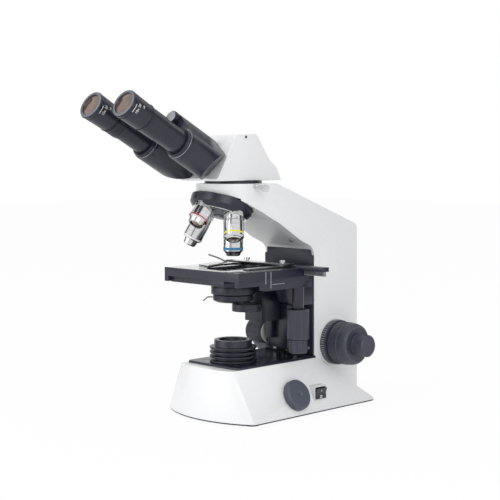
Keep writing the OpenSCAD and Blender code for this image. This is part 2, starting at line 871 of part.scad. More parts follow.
module diopter_ring() {
    ribs = 40;
    color("#2b2c31") on_tube(-1) difference() {
        tube(diopter_w0, diopter_w1, diopter_r, tube_bore_r + 1.2 + running);
        for (i = [0:ribs - 1]) rotate([0, 0, i * 360 / ribs])
            translate([diopter_r + 0.2, 0, diopter_w0 + 3]) cylinder(h = diopter_h - 5, r = 0.6, $fn = 16);
    }
}

eye_lens_r = 11.2;

// Eyepiece head with its field barrel inside the tube
module eyepiece() {
    len = eyepiece_len;
    barrel = 34;
    color("#33343a") translate([0, 0, eyepiece_w0]) difference() {
        rotate_extrude() polygon([
            [tube_bore_r - 1.6, -barrel], [tube_bore_r - running, -barrel], [tube_bore_r - running, 0],
            [eyepiece_r - 1.8, 0], [eyepiece_r - 1.8, 1], [eyepiece_r - 1.1, 1.6],
            [eyepiece_r - 0.3, len - 6.4], [eyepiece_r - 1, len - 5.6],
            [eyepiece_r - 1, len - 4.8], [eyepiece_r - 0.2, len - 4],
            [eyepiece_r, len - 1.2], [eyepiece_r - 0.9, len],
            [eye_lens_r + 1.2, len],
            [eye_lens_r, len - 2.5], [eye_lens_r, len - 7], [tube_bore_r - 1.6, len - 7]]);
    }
}

module eye_lens() {
    color("#8a7f78") translate([0, 0, eye_rim_w - 7]) rotate_extrude()
        polygon(concat([[0, 0], [eye_lens_r, 0], [eye_lens_r, 1.5]], arc(0, -18.5, 22.9, 60.8, 90, 8)));
}

module right_eyepiece() {
    on_tube(1) eyepiece();
}

module right_eye_lens() {
    on_tube(1) eye_lens();
}

module left_eyepiece() {
    on_tube(-1) eyepiece();
}

module left_eye_lens() {
    on_tube(-1) eye_lens();
}

// ---- stage ----

lower_top_z = stage_top_z - stage_t - gap;
lower_z = lower_top_z - lower_stage_t;
carrier_z0 = 71;
block_front_y = 64.5;
block_back_y = panel_y - 0.5;
block_half_w = 24.5;
knob_notch_x = -10.5;
knob_notch_z = 106;
arm_x1 = column_half_w + 0.5;
arm_x0 = arm_x1 - 12;
condenser_knob_y = 69;
condenser_knob_z = 87;
cond_module = 0.8;
cond_teeth = 12;
cond_shaft_r = 3;
cond_pitch_r = cond_module * cond_teeth / 2;
arm_root_z = 122;
arm_front_y = 14;

module stage_carrier() {
    color("#2e2f36") difference() {
        union() {
            box([-block_half_w, block_front_y, knob_notch_z], [block_half_w, block_back_y, lower_z]);
            box([knob_notch_x, block_front_y, carrier_z0],
                [block_half_w, block_back_y, knob_notch_z + eps]);
            for (s = [-1, 1]) extrude_x(s > 0 ? arm_x0 : -arm_x1, s > 0 ? arm_x1 : -arm_x0)
                polygon([[arm_front_y, lower_z], [arm_front_y, lower_z - 4], [38, lower_z - 6],
                    [46, arm_root_z + 6], [62, arm_root_z], [block_back_y, arm_root_z],
                    [block_back_y, lower_z]]);
            box([-arm_x0 - 1, block_front_y + 4, arm_root_z], [arm_x0 + 1, block_back_y, lower_z]);
        }
        for (s = [-1, 1]) translate([s * (rail_x0 + rail_x1) / 2, block_back_y, 110])
            cube([rail_x1 - rail_x0 + 2 * gap, 2 * (rail_depth + gap), 120], center = true);
        rod_x(-block_half_w, 6, condenser_knob_y, condenser_knob_z, cond_pitch_r + cond_module + 0.4);
        rod_x(-block_half_w, 16, condenser_knob_y, condenser_knob_z, cond_shaft_r + running);
        box([-5.5, block_front_y - 1, carrier_z0 - 1],
            [5.5, condenser_knob_y - cond_pitch_r + 1.2, ring_z1 + 3]);
    }
}

lower_right_x = 34;
y_module = 0.75;
y_teeth = 12;
y_pitch_r = y_module * y_teeth / 2;
y_rack_teeth = 26;
pinion_pocket_r = y_pitch_r + y_module + 0.4;
xy_x = stage_half_w - 6.5;
xy_inner_x = stage_half_w - 9.6;
xy_front_y = -9;
xy_back_y = stage_rear + 5;
xy_y = 51;
light_hole_r = 27;

module lower_stage_plate() {
    color("#2e2f36") difference() {
        box([-54, -47, lower_z], [lower_right_x, 62, lower_top_z]);
        translate([0, 0, lower_z - 1]) cylinder(h = lower_stage_t + 2, r = light_hole_r);
    }
    color("#2e2f36") box([lower_right_x - eps, 16, lower_z], [xy_x - y_pitch_r - 3, 60, lower_top_z]);
    color("#8e9094") translate([xy_x - y_pitch_r, xy_y - 2 * PI * y_module, lower_z + 0.3])
        rotate([0, 0, -90]) linear_extrude(lower_stage_t - 1) rack_outline(y_rack_teeth, y_module, 3.5);
}

focus_module = 0.8;
focus_teeth = 15;
focus_pitch_r = focus_module * focus_teeth / 2;

// Focus rack on a web that reaches through the slot in the column
module focus_rack() {
    rack_y = focus_y - focus_pitch_r;
    color("#8e9094") {
        box([-3, block_back_y, carrier_z0 + 1], [3, rack_y - 3, focus_z + 16]);
        translate([-4, rack_y, focus_z]) rotate([90, 0, 90])
            linear_extrude(8) rotate(-90) rack_outline(14, focus_module, 4);
    }
}

bar_y0 = 48;
bar_y1 = 59;
bar_z0 = 166;
bar_top = 2.3;
bar_right_x = 94.5;
slot_half_w = 16;
skirt_depth = 6;

module stage_plate() {
    z0 = stage_top_z - stage_t;
    color("#26272d") difference() {
        union() {
            box([-stage_half_w, -stage_front, z0], [stage_half_w, stage_rear, stage_top_z]);
            for (s = [-1, 1]) translate([s * (stage_half_w - 3), 0, 0])
                box([-3, -stage_front, z0 - skirt_depth], [3, s > 0 ? xy_front_y : stage_rear, z0 + eps]);
        }
        for (y = [-20, 28]) translate([0, y, z0 - 1]) cylinder(h = stage_t + 2, r = slot_half_w);
        box([-slot_half_w, -20, z0 - 1], [slot_half_w, 28, stage_top_z + 1]);
        box([-stage_half_w - 1, bar_y0 - gap, bar_z0 - gap],
            [stage_half_w + 1, bar_y1 + gap, stage_top_z + 1]);
        box([-stage_half_w - 1, xy_y + y_pitch_r - 1.4, z0 + 1],
            [stage_half_w + 1, bar_y1 + gap, stage_top_z + 1]);
        translate([xy_x, xy_y, z0 - 1]) cylinder(h = stage_t, r = pinion_pocket_r);
    }
}

sleeve_r = 6.6;
y_shaft_r = 4.4;
x_shaft_r = 2.9;
y_knob_z0 = 87;
y_knob_z1 = 121;
x_knob_z0 = 71.2;
xy_housing_z0 = 146.5;

module xy_housing() {
    z1 = stage_top_z - stage_t;
    color("#2e2f36") difference() {
        union() {
            box([xy_inner_x, xy_front_y, xy_housing_z0], [stage_half_w, xy_back_y, z1]);
            box([xy_inner_x, stage_rear, z1 - eps], [stage_half_w, xy_back_y, stage_top_z]);
            translate([xy_x, xy_y, y_knob_z1 + gap]) cylinder(h = xy_housing_z0 - y_knob_z1, r = sleeve_r);
            box([xy_x - 8, xy_y - 8, xy_housing_z0], [xy_x, xy_y + 8, lower_z - 1]);
        }
        translate([xy_x, xy_y, y_knob_z1 - 1]) cylinder(h = 50, r = y_shaft_r + running);
        translate([xy_x, xy_y, lower_z - 1 - eps]) cylinder(h = 20, r = pinion_pocket_r);
        box([xy_inner_x - 1, bar_y0 - gap, bar_z0 - gap],
            [stage_half_w + 1, bar_y1 + gap, stage_top_z + 1]);
    }
}

// Ribbed grip: cylinder with shallow flutes
module fluted(h, r, flutes) {
    difference() {
        rotate_extrude() polygon([[0, 0], [r - 0.6, 0], [r, 0.6], [r, h - 0.6], [r - 0.6, h], [0, h]]);
        for (i = [0:flutes - 1]) rotate([0, 0, i * 360 / flutes])
            translate([r + 0.3, 0, 1.5]) cylinder(h = h - 3, r = 0.75, $fn = 16);
    }
}

module y_knob() {
    color("#4b4b55") translate([xy_x, xy_y, 0]) {
        difference() {
            union() {
                translate([0, 0, y_knob_z0]) fluted(y_knob_z1 - y_knob_z0, y_knob_r, 36);
                translate([0, 0, y_knob_z1 - 1])
                    cylinder(h = lower_z + gap - y_knob_z1 + 1, r = y_shaft_r);
                translate([0, 0, lower_z + gap]) linear_extrude(lower_stage_t - 1)
                    gear_outline(y_teeth, y_module);
            }
            translate([0, 0, y_knob_z0 - 1]) cylinder(h = 90, r = x_shaft_r + running);
        }
    }
}

x_pinion_z = 160.3;
x_rack_teeth = 160;

module x_knob() {
    color("#4b4b55") translate([xy_x, xy_y, 0]) {
        translate([0, 0, x_knob_z0]) fluted(y_knob_z0 - gap - x_knob_z0, x_knob_r, 30);
        translate([0, 0, x_knob_z0 + 1]) cylinder(h = x_pinion_z - x_knob_z0, r = x_shaft_r);
        translate([0, 0, x_pinion_z]) linear_extrude(bar_z0 - gap - x_pinion_z - 0.3)
            rotate(90) gear_outline(y_teeth, y_module);
    }
}

module x_slide_bar() {
    x1 = bar_right_x;
    color("#3a3b42") box([x1 - slide_bar_len, bar_y0, bar_z0], [x1, bar_y1, stage_top_z + bar_top]);
    color("#b9bbbd") translate([xy_x, xy_y + y_pitch_r, x_pinion_z]) mirror([0, 1, 0])
        intersection() {
            linear_extrude(bar_z0 - x_pinion_z) rack_outline(x_rack_teeth, y_module, 3.4);
            box([x1 - slide_bar_len - xy_x + 2, -10, -1], [x1 - xy_x - 4, 10, 20]);
        }
}

holder_z = stage_top_z + bar_top;
holder_t = 1.6;
holder_y0 = 36;
jaw_t = 1.5;
holder_x0 = -40;
holder_x1 = 44;
screw_x = 29.5;
screw_y = 51.5;
finger_x = -31;
finger_y = 41;
finger_pin_r = 2;

module slide_holder() {
    low_z = stage_top_z + 0.2;
    color("#2a2b30") {
        box([holder_x0, holder_y0, holder_z], [holder_x1, bar_y1 - 2, holder_z + holder_t]);
        box([34, -18, low_z], [holder_x1, bar_y0 - 0.5, low_z + jaw_t]);
        box([34, holder_y0, low_z], [holder_x1, bar_y0 - 0.5, holder_z + eps]);
        translate([finger_x, finger_y, low_z]) cylinder(h = holder_z - low_z + eps, r = finger_pin_r);
    }
}

module holder_screws() {
    stem_h = 0.6;
    head_h = 2.6;
    color("#b9bbbd") for (s = [-1, 1])
        translate([s * screw_x, screw_y, holder_z + holder_t]) {
            cylinder(h = stem_h + eps, r = 2);
            translate([0, 0, stem_h]) cylinder(h = head_h, r = 3.4);
        }
}

finger_t = 1.2;
wire_r = 0.8;
tail_at = [-47, 34];
tail_rise = [[-1, 0.4], [15, 4.4], [33, 7.2]];

// Crescent finger with a bent wire grip at its tail
module spring_finger() {
    low_z = stage_top_z + 0.3;
    tip = [-19, -20];
    color("#222227") difference() {
        union() {
            translate([0, 0, low_z]) linear_extrude(finger_t) polygon(concat(
                arc(6, 22, 61, 167, 215, 8), [tip],
                arc(tip[0] + 85, 28, 97, 208, 174, 8)));
            translate([finger_x, finger_y, low_z]) cylinder(h = finger_t, r = 6);
        }
        translate([finger_x, finger_y, low_z - 1]) cylinder(h = 4, r = finger_pin_r + running);
    }
    // square-section grip that rises clear of the stage edge
    color("#8e9094") translate([tail_at[0], tail_at[1], low_z]) rotate([90, 0, 176])
        linear_extrude(2 * wire_r, center = true)
            polygon(concat(tail_rise, [for (i = [2:-1:0]) tail_rise[i] + [0, 2 * wire_r]]));
}

// ---- condenser ----

ring_bore_r = 21;
ring_z0 = 139;
ring_z1 = 147;
bracket_half_w = 14;
bracket_front_y = 33;
bracket_back_y = condenser_knob_y - cond_pitch_r - 1.2;
cond_rack_teeth = 12;
cond_rack_w = 10;
bracket_z0 = 104;
tongue_y = 54;
tongue_half_w = 9;

module condenser_carrier() {
    rack_y = condenser_knob_y - cond_pitch_r;
    color("#30313a") difference() {
        union() {
            translate([0, 0, ring_z0]) cylinder(h = ring_z1 - ring_z0, r = carrier_ring_r);
            box([-bracket_half_w, 0, ring_z0], [bracket_half_w, tongue_y, ring_z1]);
            box([-tongue_half_w, 0, ring_z0], [bracket_half_w, bracket_back_y, ring_z1]);
            box([-bracket_half_w, bracket_front_y, bracket_z0], [bracket_half_w, tongue_y, ring_z0 + eps]);
            box([-tongue_half_w, tongue_y - eps, bracket_z0],
                [bracket_half_w, bracket_back_y, ring_z0 + eps]);
            translate([-cond_rack_w / 2, rack_y, condenser_knob_z + 4 * PI * cond_module])
                rotate([90, 0, 90])
                linear_extrude(cond_rack_w) rotate(-90) rack_outline(cond_rack_teeth, cond_module, 6);
        }
        translate([0, 0, ring_z0 - 1]) cylinder(h = 20, r = ring_bore_r);
    }
}

lens_top_z = 163;
body_z0 = 129.5;
cone_r = 24;
filter_z0 = 119;
holder_pin_r = 1.5;
holder_pivot = [-8, 19];
holder_swing = 44.5;

module condenser_body() {
    color("#2b2c33") translate([holder_pivot[0], holder_pivot[1], filter_z0 - 0.6])
        cylinder(h = body_z0 + 3.5 - filter_z0, r = holder_pin_r);
    color("#2b2c33") difference() {
        rotate_extrude() polygon([
            [0, body_z0], [19, body_z0], [iris_ring_r - 1, body_z0 + 1.5], [iris_ring_r, body_z0 + 2.5],
            [iris_ring_r, ring_z0 - 1.5], [iris_ring_r - 1.2, ring_z0 - 0.5], [ring_bore_r, ring_z0 - 0.5],
            [ring_bore_r, ring_z1], [cone_r, ring_z1], [cone_r, ring_z1 + 2], [top_lens_r, ring_z1 + 8],
            [top_lens_r, lens_top_z - 1], [top_lens_r - 1, lens_top_z], [0, lens_top_z]]);
        translate([0, 0, body_z0 - 1]) cylinder(h = ring_z1 + 2 - body_z0, r = top_lens_r + 1);
        translate([0, 0, body_z0 - 1]) cylinder(h = 40, r = top_lens_r - 3);
    }
}

module condenser_lens() {
    color("#cfd8dc") translate([0, 0, lens_top_z - 5]) cylinder(h = 4.4, r = top_lens_r - 3);
}

module iris_lever() {
    z = 134.7;
    reach = 6;
    color("#8e9094") rotate([0, 0, 225]) {
        translate([iris_ring_r + gap, 0, z]) rotate([0, 90, 0]) cylinder(h = reach, r = wire_r);
        translate([iris_ring_r + reach, 0, z]) sphere(r = wire_r);
        translate([iris_ring_r + reach, 0, z]) rotate([0, 130, 0]) cylinder(h = 7, r = wire_r);
    }
}

module filter_holder() {
    z0 = filter_z0;
    h = 8;
    color("#2b2c33") translate(holder_pivot) rotate([0, 0, holder_swing]) translate(-holder_pivot) {
        difference() {
            translate([0, 0, z0]) cylinder(h = h, r = filter_ring_r);
            translate([0, 0, z0 + 1.5]) cylinder(h = h, r = filter_ring_r - 1.5);
            translate([0, 0, z0 - 1]) cylinder(h = h, r = filter_ring_r - 3.5);
        }
        translate([holder_pivot[0], holder_pivot[1], z0]) tube(0, h, 3.5, holder_pin_r + running);
    }
}

module condenser_knob() {
    color("#56555f") translate([0, condenser_knob_y, condenser_knob_z]) rotate([0, 90, 0]) {
        translate([0, 0, -36]) fluted(22, condenser_knob_r, 36);
        translate([0, 0, -14.2]) cylinder(h = 3.2, r = condenser_knob_r - 0.6);
        translate([0, 0, -12]) cylinder(h = 26, r = cond_shaft_r);
        translate([0, 0, -cond_rack_w / 2]) linear_extrude(cond_rack_w)
            gear_outline(cond_teeth, cond_module);
    }
}

// ---- focus drive ----

coarse_shaft_r = 4.9;
fine_shaft_r = 2.5;
coarse_x0 = focus_boss_x + 9.1;
coarse_x1 = coarse_x0 + coarse_len;

module focus_bushings() {
    inside = column_half_w - column_wall;
    color("#b08d57") for (s = [-1, 1])
        rod_ring(s > 0 ? inside : -focus_boss_x, s > 0 ? focus_boss_x : -inside, bushing_r,
            coarse_shaft_r + running);
}

// Ring along X round the focus axis
module rod_ring(x0, x1, r_out, r_in) {
    difference() {
        rod_x(x0, x1, focus_y, focus_z, r_out);
        rod_x(x0 - 1, x1 + 1, focus_y, focus_z, r_in);
    }
}

module coarse_shaft() {
    color("#8e9094") difference() {
        union() {
            rod_x(-coarse_x0 - 6, coarse_x0 + 6, focus_y, focus_z, coarse_shaft_r);
            translate([-5, focus_y, focus_z]) rotate([90, 0, 90])
                linear_extrude(10) rotate(180) gear_outline(focus_teeth, focus_module);
        }
        rod_x(-coarse_x1, coarse_x1, focus_y, focus_z, fine_shaft_r + running);
    }
}

module coarse_knobs() {
    h = coarse_x1 - coarse_x0;
    color("#45464f") for (s = [0, 1]) mirror([s, 0, 0]) difference() {
        turn_x(coarse_x0, focus_y, focus_z)
            polygon([[coarse_shaft_r, 0], [coarse_r - 3, 0], [coarse_r, 1.5], [coarse_r - 0.5, h - 6],
                [coarse_r - 1.6, h - 2], [coarse_r - 4, h], [coarse_shaft_r, h]]);
        rod_x(coarse_x0 + 6, coarse_x1 + 1, focus_y, focus_z, coarse_shaft_r + 0.1);
    }
    color("#45464f") rod_ring(-coarse_x0, -focus_boss_x - gap, coarse_r - 6, coarse_shaft_r);
}

module fine_knobs() {
    color("#4f525c") {
        rod_x(-coarse_x1 - 2, coarse_x1 + 2, focus_y, focus_z, fine_shaft_r);
        for (s = [0, 1]) mirror([s, 0, 0])
            turn_x(coarse_x1 + gap, focus_y, focus_z)
                polygon([[0, 0], [fine_r, 0], [fine_r, fine_len - 1.5], [fine_r - 1.5, fine_len],
                    [0, fine_len]]);
    }
}

tension_r = 26.3;

module tension_ring() {
    teeth = 60;
    color("#2b2c31") difference() {
        rod_ring(focus_boss_x + gap, coarse_x0 - gap, tension_r, coarse_shaft_r + running);
        for (i = [0:teeth - 1]) translate([0, focus_y, focus_z]) rotate([i * 360 / teeth, 0, 0])
            translate([focus_boss_x, tension_r + 0.2, 0]) rotate([0, 90, 0])
                cylinder(h = 6, r = 0.8, $fn = 16);
    }
}

base_shell();
bottom_plate();
rubber_feet();
cover_plate();
arm_column();
column_panel();
slide_rails();
head_seat();
nosepiece_seat();
collector_housing();
field_lens();
led_module();
driver_board();
power_inlet();
switch_frame();
focus_bushings();
limit_stop();
head_housing();
hinge_shaft();
right_prism_housing();
right_eye_tube();
right_eyepiece();
right_eye_lens();
left_prism_housing();
left_eye_tube();
diopter_ring();
left_eyepiece();
left_eye_lens();
nosepiece_turret();
objective_4x();
objective_10x();
objective_40x();
objective_100x();
objective_lenses();
stage_carrier();
lower_stage_plate();
focus_rack();
stage_plate();
xy_housing();
y_knob();
x_knob();
x_slide_bar();
slide_holder();
holder_screws();
spring_finger();
condenser_carrier();
condenser_body();
condenser_lens();
iris_lever();
filter_holder();
condenser_knob();
coarse_knobs();
coarse_shaft();
fine_knobs();
tension_ring();
brightness_knob();
rocker();
head_lock_screw();
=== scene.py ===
# %% [markdown]
# # A binocular compound microscope
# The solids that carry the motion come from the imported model. This lesson gives them the finishes
# of a laboratory instrument and adds the small turned, knurled and printed parts that make it real.
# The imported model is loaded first, because every later place is measured from it.

# %% Load the solids
import json
from math import cos, hypot, pi, radians, sin

import bmesh
import bpy
from mathutils import Matrix, Vector
from mathutils.bvhtree import BVHTree


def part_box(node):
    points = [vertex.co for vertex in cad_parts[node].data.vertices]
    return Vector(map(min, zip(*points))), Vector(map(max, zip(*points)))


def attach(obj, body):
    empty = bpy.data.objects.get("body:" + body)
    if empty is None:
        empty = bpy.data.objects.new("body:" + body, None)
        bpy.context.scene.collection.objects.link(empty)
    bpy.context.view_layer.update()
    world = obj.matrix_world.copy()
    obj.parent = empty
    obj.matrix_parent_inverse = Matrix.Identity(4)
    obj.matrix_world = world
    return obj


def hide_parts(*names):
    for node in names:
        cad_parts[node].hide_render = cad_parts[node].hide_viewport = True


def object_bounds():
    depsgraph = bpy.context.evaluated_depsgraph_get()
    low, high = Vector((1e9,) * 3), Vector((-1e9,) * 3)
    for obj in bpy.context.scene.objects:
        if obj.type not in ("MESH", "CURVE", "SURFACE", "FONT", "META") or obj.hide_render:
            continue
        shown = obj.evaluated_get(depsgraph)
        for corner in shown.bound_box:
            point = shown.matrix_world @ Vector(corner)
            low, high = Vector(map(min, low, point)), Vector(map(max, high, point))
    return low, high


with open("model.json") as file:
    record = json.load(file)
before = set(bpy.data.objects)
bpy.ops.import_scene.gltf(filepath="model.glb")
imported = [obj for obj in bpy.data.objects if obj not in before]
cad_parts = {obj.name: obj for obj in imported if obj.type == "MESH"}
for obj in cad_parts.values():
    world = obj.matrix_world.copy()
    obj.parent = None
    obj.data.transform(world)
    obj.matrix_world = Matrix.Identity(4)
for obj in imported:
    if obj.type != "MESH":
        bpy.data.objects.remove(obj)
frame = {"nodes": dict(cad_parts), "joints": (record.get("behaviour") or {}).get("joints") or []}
cad_box = [list(corner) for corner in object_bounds()]
nodes = frame["nodes"]
joints = {joint["name"]: joint for joint in frame["joints"]}
MM = 0.001
print("solids:", len(nodes), "joints:", len(joints))

# %% [markdown]
# Everything that turns on a real microscope is made on a lathe, about its own axis. A local frame
# for each axis lets a profile be written in millimetres as (radius, height). The frames are built
# from the joints of the record: +Z runs along the axis and +X stays as near to the user's right as
# it can. Frames could also be empties, but a plain matrix is easier to reuse.

# %% Frames of the turning axes
def frame_on(origin, axis, right=(1, 0, 0)):
    """A frame at origin with +Z along axis and +X as near to right as it can be."""
    z = Vector(axis).normalized()
    x = (Vector(right) - z * z.dot(Vector(right))).normalized()
    turn = Matrix((x, z.cross(x), z)).transposed().to_4x4()
    return Matrix.Translation(Vector(origin)) @ turn


def joint_frame(name, right=(1, 0, 0)):
    joint = joints[name]
    return frame_on(joint.get("pos_m", (0, 0, 0)), joint["axis"], right)


optical = Matrix.Identity(4)
hinge = joint_frame("right_tube_swing")
left_tube = joint_frame("diopter_turn")
half_spacing = abs(left_tube.translation.x)
tube_origin = hinge.inverted() @ left_tube.translation
left_tube = hinge @ Matrix.Translation((tube_origin.x, tube_origin.y, 0))
right_tube = hinge @ Matrix.Translation((-tube_origin.x, tube_origin.y, 0))
nose = joint_frame("nosepiece_turn")
focus = joint_frame("coarse_turn", right=(0, 1, 0))
lamp_knob = joint_frame("brightness_turn", right=(0, 0, 1))
print("tube spacing in mm:", round(2 * half_spacing / MM, 1))

# %% [markdown]
# The four objectives hang from the revolving nosepiece with their axes leaning outwards, so that
# only the working one is upright. Each one's frame is found by swinging the upright frame about the
# nosepiece's axis. The order here is the order on the turret.

# %% Frames of the objectives
NOSE_TILT = radians(20)
NOSE_REACH = 22.0
OBJECTIVES = {"objective_4x": 180, "objective_10x": -90, "objective_40x": 0, "objective_100x": 90}


def objective_frame(name):
    """Shoulder of an objective at the origin, its front lens towards -Z."""
    swing = Matrix.Rotation(radians(OBJECTIVES[name]), 4, "Z")
    out = Matrix.Translation((0, NOSE_REACH * MM, 0))
    return nose @ swing @ out @ Matrix.Rotation(NOSE_TILT, 4, "X")


print("objectives:", ", ".join(OBJECTIVES))


# %% [markdown]
# ## Finishes
# Colours are written as sRGB hex codes and turned to the linear values that a shader needs. One
# small helper adds a node, sets it and links it. Every finish below is a Principled shader whose
# colour, roughness and bump come from noise at a size in millimetres, because a surface that is
# one flat value looks like a computer's, not a maker's.

# %% Colour and node helpers
def linear(code):
    """An sRGB hex code as linear RGBA."""
    parts = [int(code[i:i + 2], 16) / 255 for i in (1, 3, 5)]
    return [c / 12.92 if c <= 0.04045 else ((c + 0.055) / 1.055) ** 2.4 for c in parts] + [1.0]


def add(tree, kind, links=None, **settings):
    """Adds a node; settings name its sockets or properties, links feed its sockets."""
    made = tree.nodes.new("ShaderNode" + kind)
    for key, value in settings.items():
        if hasattr(made, key):
            setattr(made, key, value)
        else:
            made.inputs[key.replace("_", " ")].default_value = value
    for key, source in (links or {}).items():
        tree.links.new(source, made.inputs[key])
    return made


def start_finish(name, tint, **sockets):
    """A new material with its Principled shader, object coordinates in millimetres and its output."""
    material = bpy.data.materials.new(name)
    material.use_nodes = True
    tree = material.node_tree
    tree.nodes.clear()
    shader = add(tree, "BsdfPrincipled")
    shader.inputs["Base Color"].default_value = linear(tint)
    for key, value in sockets.items():
        shader.inputs[key.replace("_", " ")].default_value = value
    add(tree, "OutputMaterial", {"Surface": shader.outputs["BSDF"]})
    place = add(tree, "TexCoord")
    return material, tree, shader, place.outputs["Object"]


def mottle(tree, shader, where, tints, grain_mm, rough, bump=0.0, depth_mm=0.02, detail=3.0):
    """Noise of a real grain size that shifts the colour and roughness a little, and the relief."""
    noise = add(tree, "TexNoise", {"Vector": where}, Scale=1 / (grain_mm * MM), Detail=detail)
    ramp = add(tree, "ValToRGB", {"Fac": noise.outputs["Fac"]})
    ramp.color_ramp.elements[0].position, ramp.color_ramp.elements[1].position = 0.35, 0.65
    ramp.color_ramp.elements[0].color = linear(tints[0])
    ramp.color_ramp.elements[1].color = linear(tints[1])
    spread = add(tree, "MapRange", {"Value": noise.outputs["Fac"]})
    spread.inputs["To Min"].default_value, spread.inputs["To Max"].default_value = rough
    tree.links.new(ramp.outputs["Color"], shader.inputs["Base Color"])
    tree.links.new(spread.outputs["Result"], shader.inputs["Roughness"])
    if bump:
        relief = add(tree, "Bump", {"Height": noise.outputs["Fac"]})
        relief.inputs["Strength"].default_value = bump
        relief.inputs["Distance"].default_value = depth_mm * MM
        tree.links.new(relief.outputs["Normal"], shader.inputs["Normal"])
    return noise


# %% [markdown]
# The stand and head are die-cast aluminium under stoved white enamel. Stoving leaves a semi-gloss
# skin with a very slight orange peel, so the grain is about 1.5 mm and the relief a few microns.
# The black parts wear a harder satin enamel with a blue cast, and a finer grain.

# %% Enamels
def stoved_white_enamel():
    material, tree, shader, where = start_finish("stoved_white_enamel", "#e8e9ea", Coat_Weight=0.25)
    shader.inputs["Coat Roughness"].default_value = 0.12
    mottle(tree, shader, where, ("#e6e7e8", "#eaebec"), 1.5, (0.34, 0.42), bump=0.06)
    return material


def black_enamel(name, rough):
    material, tree, shader, where = start_finish(name, "#1f2030")
    mottle(tree, shader, where, ("#1d1e2d", "#242536"), 0.5, rough, bump=0.12)
    return material


WHITE = stoved_white_enamel()
BLACK = black_enamel("satin_black_enamel", (0.26, 0.38))
GLOSS_BLACK = black_enamel("gloss_black_enamel", (0.2, 0.3))
print("enamels:", WHITE.name, BLACK.name, GLOSS_BLACK.name)

# %% [markdown]
# The stage is coated with a hard glossy ceramic black that resists slides being pushed over it. A
# clear coat over a dark base gives the mirror that it turns into when it is seen from low down.

# %% Stage coat
def ceramic_stage_coat():
    material, tree, shader, where = start_finish("ceramic_stage_coat", "#202127", Coat_Weight=1.0)
    shader.inputs["Coat Roughness"].default_value = 0.03
    mottle(tree, shader, where, ("#1e1f25", "#24252b"), 0.8, (0.24, 0.34))
    return material


STAGE = ceramic_stage_coat()
print("stage:", STAGE.name)

# %% [markdown]
# Turned parts keep fine tool marks that run round their axis. The noise is stretched along the
# circumference by shrinking the two radial directions in the part's own frame, which leaves rings.
# One function serves anodised aluminium, satin chrome and bronze, each with its own tint.

# %% Turned metals
def turned(name, tints, place, metallic, rough, pitch_mm=0.5, bump=0.1, **sockets):
    material, tree, shader, where = start_finish(name, tints[0], Metallic=metallic, **sockets)
    local = place.inverted()
    moved = add(tree, "Mapping", {"Vector": where})
    moved.inputs["Location"].default_value = local.translation
    moved.inputs["Rotation"].default_value = local.to_euler()
    rings = add(tree, "Mapping", {"Vector": moved.outputs["Vector"]})
    rings.inputs["Scale"].default_value = (0.02, 0.02, 1)
    mottle(tree, shader, rings.outputs["Vector"], tints, pitch_mm, rough, bump=bump, detail=2.0)
    return material


def black_anodised(name, place):
    return turned("black_anodised_" + name, ("#22232f", "#2c2d3b"), place, 0.25, (0.26, 0.38))


def satin_chrome(name, place):
    return turned("satin_chrome_" + name, ("#c4c4c6", "#dcdcdd"), place, 1.0, (0.1, 0.2))


GREY_METAL = turned("grey_anodised", ("#8b8c94", "#9899a1"), nose, 0.2, (0.3, 0.42))
STEEL = turned("ground_steel", ("#8b8d91", "#a2a4a8"), optical, 1.0, (0.25, 0.38))
BRONZE = turned("bearing_bronze", ("#a8814c", "#b98f58"), focus, 1.0, (0.3, 0.4))
print("turned metals:", GREY_METAL.name, STEEL.name, BRONZE.name)

# %% [markdown]
# The control knobs are moulded from glass-filled nylon. Its mould is spark-eroded, which gives an
# even, fine grain of about 0.3 mm, drawn here at 0.6 mm so that it shows. It feels matt and looks
# slightly blue-grey under a white light.

# %% Knob plastics
def grained_nylon(name, tints):
    material, tree, shader, where = start_finish(name, tints[0])
    mottle(tree, shader, where, tints, 0.6, (0.36, 0.5), bump=0.2)
    return material


KNOB = grained_nylon("grained_nylon", ("#343643", "#3e404e"))
LAMP_KNOB = grained_nylon("grey_nylon", ("#454a58", "#4f5462"))
RUBBER = grained_nylon("foot_rubber", ("#1d1d1f", "#252527"))
print("moulded grips and feet:", KNOB.name, LAMP_KNOB.name, RUBBER.name)

# %% [markdown]
# The small electrical parts are ABS: a glossy black rocker in a white bezel. The lenses are glass
# with an anti-reflection coat, which looks pale brown in the eyepieces.

# %% Switch plastics, glass and board
def moulded_abs(name, tints):
    material, tree, shader, where = start_finish(name, tints[0])
    mottle(tree, shader, where, tints, 0.9, (0.2, 0.3), bump=0.05)
    return material


def coated_lens(name, tint, depth):
    material, tree, shader, where = start_finish(name, tint, Coat_Weight=1.0)
    shader.inputs["Coat Tint"].default_value = linear("#d6cec8")
    mottle(tree, shader, where, (tint, depth), 14.0, (0.03, 0.06), detail=1.0)
    return material


ROCKER = moulded_abs("black_abs", ("#1f2029", "#282a36"))
PALE = moulded_abs("white_abs", ("#d6d8da", "#dfe1e3"))
BOARD = moulded_abs("solder_mask", ("#2a6238", "#306c40"))
EYE_LENS = coated_lens("coated_eye_lens", "#8d7c72", "#62544d")
LENS = coated_lens("coated_lens", "#2a2c36", "#1c1e26")
FIELD_LENS = coated_lens("field_glass", "#b9c0c4", "#9aa2a8")
SINK = turned("plain_aluminium", ("#93969b", "#a6a9ae"), optical, 0.9, (0.35, 0.5))
print("small parts:", ROCKER.name, PALE.name, BOARD.name, EYE_LENS.name, FIELD_LENS.name)

# %% [markdown]
# Each solid now gets its finish. The turned parts that share an axis share a material, and the
# objectives have one each because their tool marks follow their own leaning axes.

